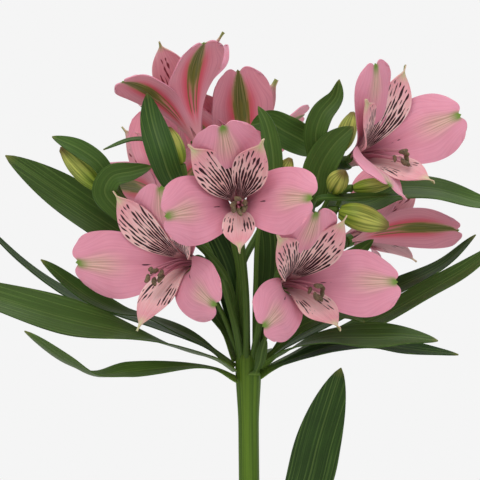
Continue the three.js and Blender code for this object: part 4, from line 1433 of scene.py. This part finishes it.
BRACTS = (
    Leaf("bract_upright_left", 12.5, (80, 40, 10, 0, 0),
         ((-26, -16, 65), (-31, -19, 74), (-34, -20, 83), (-38, -16, 96), (-40, -14, 107)),
         host="bloom_back_left", at=0.71),
    Leaf("bract_over_bud", 9, (80, 45, 30, 30),
         ((-55, -4, 73), (-60, -6, 80), (-67, -7, 85), (-78, -7, 90)), host="bud_left", at=0.84),
    Leaf("bract_curled", 10.5, (30, 60, 20, 0, 0, 0),
         ((-42, -6, 52), (-52, -8, 61), (-57, -9, 68), (-54, -10, 74), (-46, -11, 76), (-38, -11, 78)),
         host="bud_left", at=0.66),
    Leaf("bract_thin", 7, (60, 80, 70, 75, 75),
         ((-27, 3, 69), (-33, 4, 81), (-39, 4, 88), (-46, 4, 89), (-58, 3, 85)),
         host="bud_upper_left", at=0.62),
    Leaf("bract_pale", 8, (0, 0, 0, 0, 0),
         ((9, -9, 67), (10, -11, 79), (9, -11, 88), (7, -10.5, 96), (4, -9, 102)),
         host="bud_centre", at=0.76),
    Leaf("bract_dark", 14, (40, 10, 0, 0, 10),
         ((31, 9, 79.5), (29, 9.5, 84.5), (22.5, 10, 88.5), (15, 9, 92.5), (8.5, 9, 96), (1, 9, 95)),
         host="bud_behind", at=0.5),
    Leaf("bract_twisted", 10.5, (0, 0, -30, -10, 20),
         ((28, 2, 82), (27, -1, 91), (29.5, -2, 99), (35, -2, 106), (36.5, -2, 113)),
         host="bloom_upper_right", at=0.67),
    Leaf("bract_right", 14, (0, 0, -10, -10),
         ((27, 0, 68), (28.5, -3, 77), (34, -5, 86.5), (42, -6, 94)), host="bloom_upper_right", at=0.62),
    Leaf("bract_long_right", 16, (-90, -80, -55, -50, -50, -60),
         ((26, 8, 55), (33, 11, 62), (42, 12, 63), (50, 11, 64), (60, 11, 69), (75, 11, 69), (93, 11, 64),
          (104, 11, 62)), host="bloom_upper_right", at=0.44),
    Leaf("bract_small_right", 6, (-90, -20, 0),
         ((36, 0, 41), (42, -3, 43), (50, -5, 49)), host="bloom_back_right", at=0.7),
    Leaf("bract_narrow_right", 6, (-60, -60, -60, -60, -65, -70),
         ((26, -7, 61.5), (28, -11.5, 65), (34, -12.5, 65.5), (41, -9.5, 65.5), (49, -7.5, 66),
          (63, -8, 66.5)), host="bud_round", at=0.5),
)


@dataclass(frozen=True)
class StemFrame:
    """The green frame of the plant: main stem, flared collar, rays with their seed cases, and twigs."""

    radius: float = 4.1
    collar: float = 5.2
    ring: float = 2.8
    ray: float = 1.45
    ovary_length: float = 8.0
    ovary: float = 2.9
    twig: float = 1.0
    twig_end: float = 1.7
    seat_gap: float = 0.25
    samples: int = 400
    stops: tuple[Triple, ...] = (
        (0, 0, -246), (0, 0, -218), (0, 0, -190), (1.2, 0.8, -150), (1.4, 0, -100), (0.4, 0, -48), (0, 0, 5),
    )

    def stem_line(self) -> Spline:
        """Return the main stem's middle line."""
        return Spline([WHORL + Vector(stop) for stop in self.stops])

    def rays(self) -> dict[str, Spline]:
        """Return each ray's middle line by its flower."""
        return {flower.name: flower.stalk(self.ring, self.ovary_length) for flower in FLOWERS}

    def twigs(self, rays: dict[str, Spline]) -> dict[str, Spline]:
        """Return each twig's middle line by its bud."""
        return {bud.name: bud.stalk(rays, self.ring) for bud in BUDS}

    def seat_on_stem(self, leaf: Leaf) -> Vector:
        """Return where a leaf's foot meets the stem or its collar."""
        line = self.stem_line()
        goal = WHORL.z + leaf.level
        spots = (line.at(i / self.samples) for i in range(self.samples + 1))
        centre = min(spots, key=lambda point: abs(point.z - goal))
        out = WHORL + Vector(leaf.path[0]) - centre
        out.z = 0.0
        reach = (self.collar if leaf.level > -10 else self.radius) + self.seat_gap
        return Vector((centre.x, centre.y, goal)) + out.normalized() * reach

    def seat_on_stalk(self, leaf: Leaf, line: Spline, is_ray: bool) -> Vector:
        """Return where a bract's foot meets its ray or twig."""
        centre = line.at(leaf.at)
        heading = line.heading(leaf.at)
        out = WHORL + Vector(leaf.path[0]) - centre
        out -= heading * out.dot(heading)
        reach = self.ray if is_ray else self.twig_radius(leaf.at, 0.0)
        return centre + out.normalized() * (reach + self.seat_gap)

    def twig_radius(self, t: float, _: float) -> float:
        """Return a twig's radius, which swells under its bud."""
        return lerp(self.twig, self.twig_end, smooth(t, 0.8, 1.0))

    def main_radius(self, t: float, turn: float) -> float:
        """Return the main stem's radius, flared into the collar and domed at its top."""
        height = lerp(self.stops[0][2], self.stops[-1][2], t)
        flare = smooth(height, -26.0, -1.0)
        dome = math.sqrt(max(1.0 - (max(height + 1.0, 0.0) / 7.5) ** 2, 0.01))
        return lerp(self.radius, self.collar, flare) * dome * (1.0 + 0.02 * math.cos(9 * turn))

    def build(self) -> None:
        """Build the frame and let it stand for its solid."""
        rays = self.rays()
        made = [lay_tube("main_stem", self.stem_line(), self.main_radius, 120, 36, Look.STEM)]
        for name, line in rays.items():
            neck = 1.0 - self.ovary_length / line.length

            def radius(t: float, turn: float, neck: float = neck) -> float:
                """Return the ray's radius, which swells into a six-ribbed seed case."""
                if t <= neck:
                    return self.ray * (1.0 + 0.25 * fade(t, 0.0, 0.12))
                share = (t - neck) / (1.0 - neck)
                swell = along((self.ray, self.ovary * 0.9, self.ovary, self.ovary * 0.8), share)
                return swell * (1.0 + 0.07 * math.cos(6 * turn) * smooth(share, 0.0, 0.4))

            def zones(t: float, turn: float, neck: float = neck) -> Quad:
                """Return the painted shade down one side and the darker seed case."""
                # Painted shade: one side of the ray is darkened, most strongly opposite turn 0
                sides = 0.35 * (0.5 - 0.5 * math.cos(turn))
                return (sides, 0.8 * smooth(t, neck - 0.02, neck + 0.06), 0.0, 0.0)

            made.append(lay_tube(f"ray_{name}", line, radius, 56, 24, Look.RAY, zones))
        for name, line in self.twigs(rays).items():
            made.append(lay_tube(f"twig_{name}", line, self.twig_radius, 36, 14, Look.RAY))
        stand_for(join(made, "stem_frame"), "stem")


@dataclass(frozen=True)
class Pot:
    """The plain thrown clay pot, with a proud band at its rim and drain holes in its floor."""

    height: float = 118.0
    rim: float = 66.0
    foot: float = 46.0
    wall: float = 4.0
    floor: float = 5.0
    band_height: float = 18.0
    band_proud: float = 2.6
    lip: float = 1.4
    rim_round: float = 1.8
    hole: float = 4.5
    hole_circle: float = 26.0
    holes: int = 3
    sides: int = 96

    def inner(self, height: float) -> float:
        """Return the inner wall's radius at a height."""
        top = self.rim - self.band_proud - self.wall
        return lerp(self.foot - self.wall, top, (height - self.floor) / (self.height - self.floor))

    def outline(self) -> list[Pair]:
        """Return the section's points, radius and height, from the middle of the base round the lip."""
        foot, lip, bend = self.foot, self.lip, self.rim_round
        mouth, top = self.inner(self.height), self.height - lip
        low = self.height - self.band_height
        wall = lerp(foot, self.rim - self.band_proud, low / self.height)
        band = wall + self.band_proud

        def line(start: Pair, end: Pair, steps: int) -> list[Pair]:
            """Return a straight stretch's points after its start."""
            shares = [step / steps for step in range(1, steps + 1)]
            return [(lerp(start[0], end[0], share), lerp(start[1], end[1], share)) for share in shares]

        def quarter(x: float, z: float, radius: float, first: int, steps: int) -> list[Pair]:
            """Return a quarter circle's points after its start, which lies first quarters round."""
            turns = [0.5 * math.pi * (first + step / steps) for step in range(1, steps + 1)]
            return [(x + radius * math.cos(turn), z + radius * math.sin(turn)) for turn in turns]

        return [
            (0.0, 0.0), (foot * 0.5, 0.0), (foot - 2.4, 0.0), *quarter(foot - lip, lip, lip, -1, 4),
            *line((foot, lip), (wall, low - 0.8), 14),
            (wall + 0.5, low), (band - 0.4, low + 0.7), (band, low + 1.6),
            *line((band, low + 1.6), (self.rim, self.height - bend), 4),
            *quarter(self.rim - bend, self.height - bend, bend, 0, 5), *quarter(mouth + lip, top, lip, 1, 4),
            *line((self.inner(top), top), (self.inner(self.floor), self.floor), 12),
            (foot * 0.4, self.floor), (0.0, self.floor),
        ]

    def build(self) -> None:
        """Turn the pot, cut its drain holes and let it stand for its solid."""
        outline = self.outline()
        rows = len(outline) - 1

        def place(t: float, v: float) -> Vector:
            """Return the spot's place, with the faint rings that a thrower's fingers leave."""
            radius, height = outline[round(t * rows)]
            turn = math.pi * v
            rings = 0.09 * math.sin(height * 0.9) + 0.12 * math.sin(height * 0.31 + 2.0 * math.sin(turn))
            radius -= (0.3 + rings) * smooth(radius, 20.0, 40.0) * 0.6
            return polar(turn, radius, height)

        pot = lay_sheet("thrown_pot", rows, self.sides, place, [Look.CLAY], rolled=True)
        for index in range(self.holes):
            spot = polar(math.tau * (index + 0.25) / self.holes, self.hole_circle, self.floor / 2) * MM
            deselect_all()
            bpy.ops.mesh.primitive_cylinder_add(
                vertices=24, radius=self.hole * MM, depth=3 * self.floor * MM, location=spot
            )
            cutter = bpy.context.active_object
            activate(pot)
            bpy.ops.object.modifier_add(type="BOOLEAN")
            cut = pot.modifiers[-1]
            cut.operation = "DIFFERENCE"
            cut.object = cutter
            bpy.ops.object.modifier_apply(modifier=cut.name)
            bpy.data.objects.remove(cutter, do_unlink=True)
        stand_for(pot, "pot", 40.0)


@dataclass(frozen=True)
class Soil:
    """The soil that fills the pot: a crumbly mound strewn with bark and white perlite."""

    top: float = 104.0
    mound: float = 3.5
    gap: float = 0.35
    rings: int = 60
    sides: int = 120
    bits: int = 150
    seed: int = 11

    def surface(self, x: float, y: float, rim: float) -> float:
        """Return the height of the soil at a place.

        Args:
            x: millimetres to the right.
            y: millimetres away from the viewer.
            rim: the radius of the soil at its top.

        Returns:
            The height over the ground in millimetres.
        """
        ring = min(math.hypot(x, y) / rim, 1.0)
        lump = math.sin(x * 0.31 + 1.3) * math.cos(y * 0.27) + 0.6 * math.sin((x - y) * 0.53)
        lumps = 1.3 * noise.noise(Vector((x * 0.22, y * 0.22, 0.5)))
        crumbs = lumps + 0.9 * noise.noise(Vector((x * 0.6, y * 0.6, 3.0)))
        keep = fade(ring, 0.93, 1.0)
        return self.top + self.mound * (1.0 - ring * ring) + (0.8 * lump + crumbs) * keep

    def build(self, pot: Pot) -> None:
        """Lay the soil with what lies on it and let it stand for its solid.

        Args:
            pot: the pot that it fills.
        """
        rim = pot.inner(self.top) - self.gap
        low = pot.inner(pot.floor) - self.gap
        bottom = pot.floor + 0.3
        outline = [(0.0, bottom), (low * 0.6, bottom), (low, bottom)]
        outline.append((lerp(low, rim, 0.5), lerp(bottom, self.top, 0.5)))
        outline += [(rim * (1.0 - i / self.rings), self.top) for i in range(self.rings + 1)]
        rows = len(outline) - 1

        def place(t: float, v: float) -> Vector:
            """Return the spot's place, lumpy on top."""
            index = round(t * rows)
            radius, height = outline[index]
            turn = math.pi * v
            x, y = radius * math.cos(turn), radius * math.sin(turn)
            return Vector((x, y, self.surface(x, y, rim) if index > 3 else height))

        made = [lay_sheet("soil_bed", rows, self.sides, place, [Look.SOIL], rolled=True)]
        # The lumps of the bits are drawn from seeded noise, so that each run gives the same ones
        noise.seed_set(self.seed)
        for index in range(self.bits):
            radius = rim * 0.95 * math.sqrt((index + 0.5) / self.bits)
            if radius < 7.0:
                continue
            turn = GOLDEN_ANGLE * index
            x, y = radius * math.cos(turn), radius * math.sin(turn)
            pick = noise.cell(Vector((index * 1.7, 2.0, 5.0)))
            size = 0.8 + 1.5 * abs(noise.cell(Vector((index * 3.1, 7.0, 1.0))))
            deselect_all()
            bpy.ops.mesh.primitive_ico_sphere_add(
                subdivisions=2,
                radius=size * MM,
                location=(x * MM, y * MM, (self.surface(x, y, rim) + size * 0.25) * MM),
                rotation=(index * 1.1, index * 0.7, index * 2.3),
                scale=(1.0, 0.75, 0.6) if pick > 0 else (1.7, 0.8, 0.4),
            )
            bit = bpy.context.active_object
            bpy.ops.object.transform_apply(location=True, rotation=True, scale=True)
            for vertex in bit.data.vertices:
                vertex.co += Vector(noise.noise_vector(vertex.co * 900.0)) * 0.0004
            wear(bit, Look.GRIT if pick > 0.25 else Look.BARK)
            made.append(bit)
        stand_for(join(made, "soil_with_bits"), "soil", 60.0)


@dataclass(frozen=True)
class Studio:
    """A pale floor, an even pale surround, three soft lights and a camera level with the flowers."""

    frame_width: float = 192.0
    sensor: float = 36.0
    glow: float = 0.62

    def camera(self) -> None:
        """Add the camera, level, on the viewer's side."""
        deselect_all()
        side, distance, height = EYE
        spot = (side * MM, -distance * MM, (WHORL.z + height) * MM)
        bpy.ops.object.camera_add(location=spot, rotation=(math.pi / 2, 0.0, 0.0))
        camera = bpy.context.active_object
        camera.data.sensor_width = self.sensor
        camera.data.lens = self.sensor * distance / self.frame_width
        camera.data.clip_end = 20.0
        bpy.context.scene.camera = camera

    def light(self, name: str, place: Triple, size: float, watts: float, tint: str) -> None:
        """Add a soft area light that faces the flowers.

        Args:
            name: the light's name.
            place: where it stands, in metres.
            size: its side in metres.
            watts: its power.
            tint: its colour.
        """
        deselect_all()
        aim = WHORL * MM + Vector((0.0, 0.0, 0.02)) - Vector(place)
        turn = aim.to_track_quat("-Z", "Y").to_euler()
        bpy.ops.object.light_add(type="AREA", location=place, rotation=turn)
        lamp = bpy.context.active_object
        lamp.name = name
        lamp.data.size = size
        lamp.data.energy = watts
        lamp.data.color = linear(tint)[:3]

    def surround(self) -> None:
        """Light the world evenly in the photograph's pale ground colour."""
        world = bpy.data.worlds.new("pale surround")
        bpy.context.scene.world = world
        world.use_nodes = True
        tree = world.node_tree
        tree.nodes.clear()
        ground = add_node(tree, "ShaderNodeBackground", {0: "#f5f5f5", 1: 1.0})
        glow = add_node(tree, "ShaderNodeBackground", {0: "#f5f5f5", 1: self.glow})
        seen = add_node(tree, "ShaderNodeLightPath", out="Is Camera Ray")
        mixed = add_node(tree, "ShaderNodeMixShader", {0: seen, 1: glow, 2: ground})
        add_node(tree, "ShaderNodeOutputWorld", {0: mixed})

    def floor(self) -> None:
        """Add the pale floor, which isn't part of the object."""
        deselect_all()
        bpy.ops.mesh.primitive_circle_add(vertices=96, radius=3.0, fill_type="NGON")
        floor = bpy.context.active_object
        floor.name = "studio_floor"
        material, tree = new_material("pale studio floor")
        shader = add_node(tree, "ShaderNodeBsdfPrincipled", {"Base Color": "#e9e9e7", "Roughness": 0.85})
        add_node(tree, "ShaderNodeOutputMaterial", {0: shader})
        floor.data.materials.append(material)

    def build(self) -> None:
        """Set the studio up."""
        self.camera()
        self.surround()
        self.floor()
        self.light("key", (-0.6, -1.3, 1.7), 1.0, 15.0, "#fffcf8")
        self.light("fill", (1.3, -1.2, 0.8), 1.2, 5.0, "#fafbff")
        self.light("rim", (0.3, 0.5, 2.0), 1.0, 8.0, "#ffffff")
        bpy.context.scene.view_settings.view_transform = "Standard"


def main() -> None:
    """Build the studio, the plant and its pot, and report each piece."""
    logging.basicConfig(level=logging.INFO, format="%(name)s %(message)s")
    Studio().build()
    stem = StemFrame()
    stem.build()
    for piece in (*FLOWERS, *BUDS):
        piece.build()
    for leaf in (*WHORL_LEAVES, *STEM_LEAVES):
        leaf.build(stem.seat_on_stem(leaf))
    rays = stem.rays()
    twigs = stem.twigs(rays)
    for bract in BRACTS:
        line = rays.get(bract.host) or twigs[bract.host]
        bract.build(stem.seat_on_stalk(bract, line, bract.host in rays))
    pot = Pot()
    pot.build()
    Soil().build(pot)


if __name__ == "__main__":
    main()
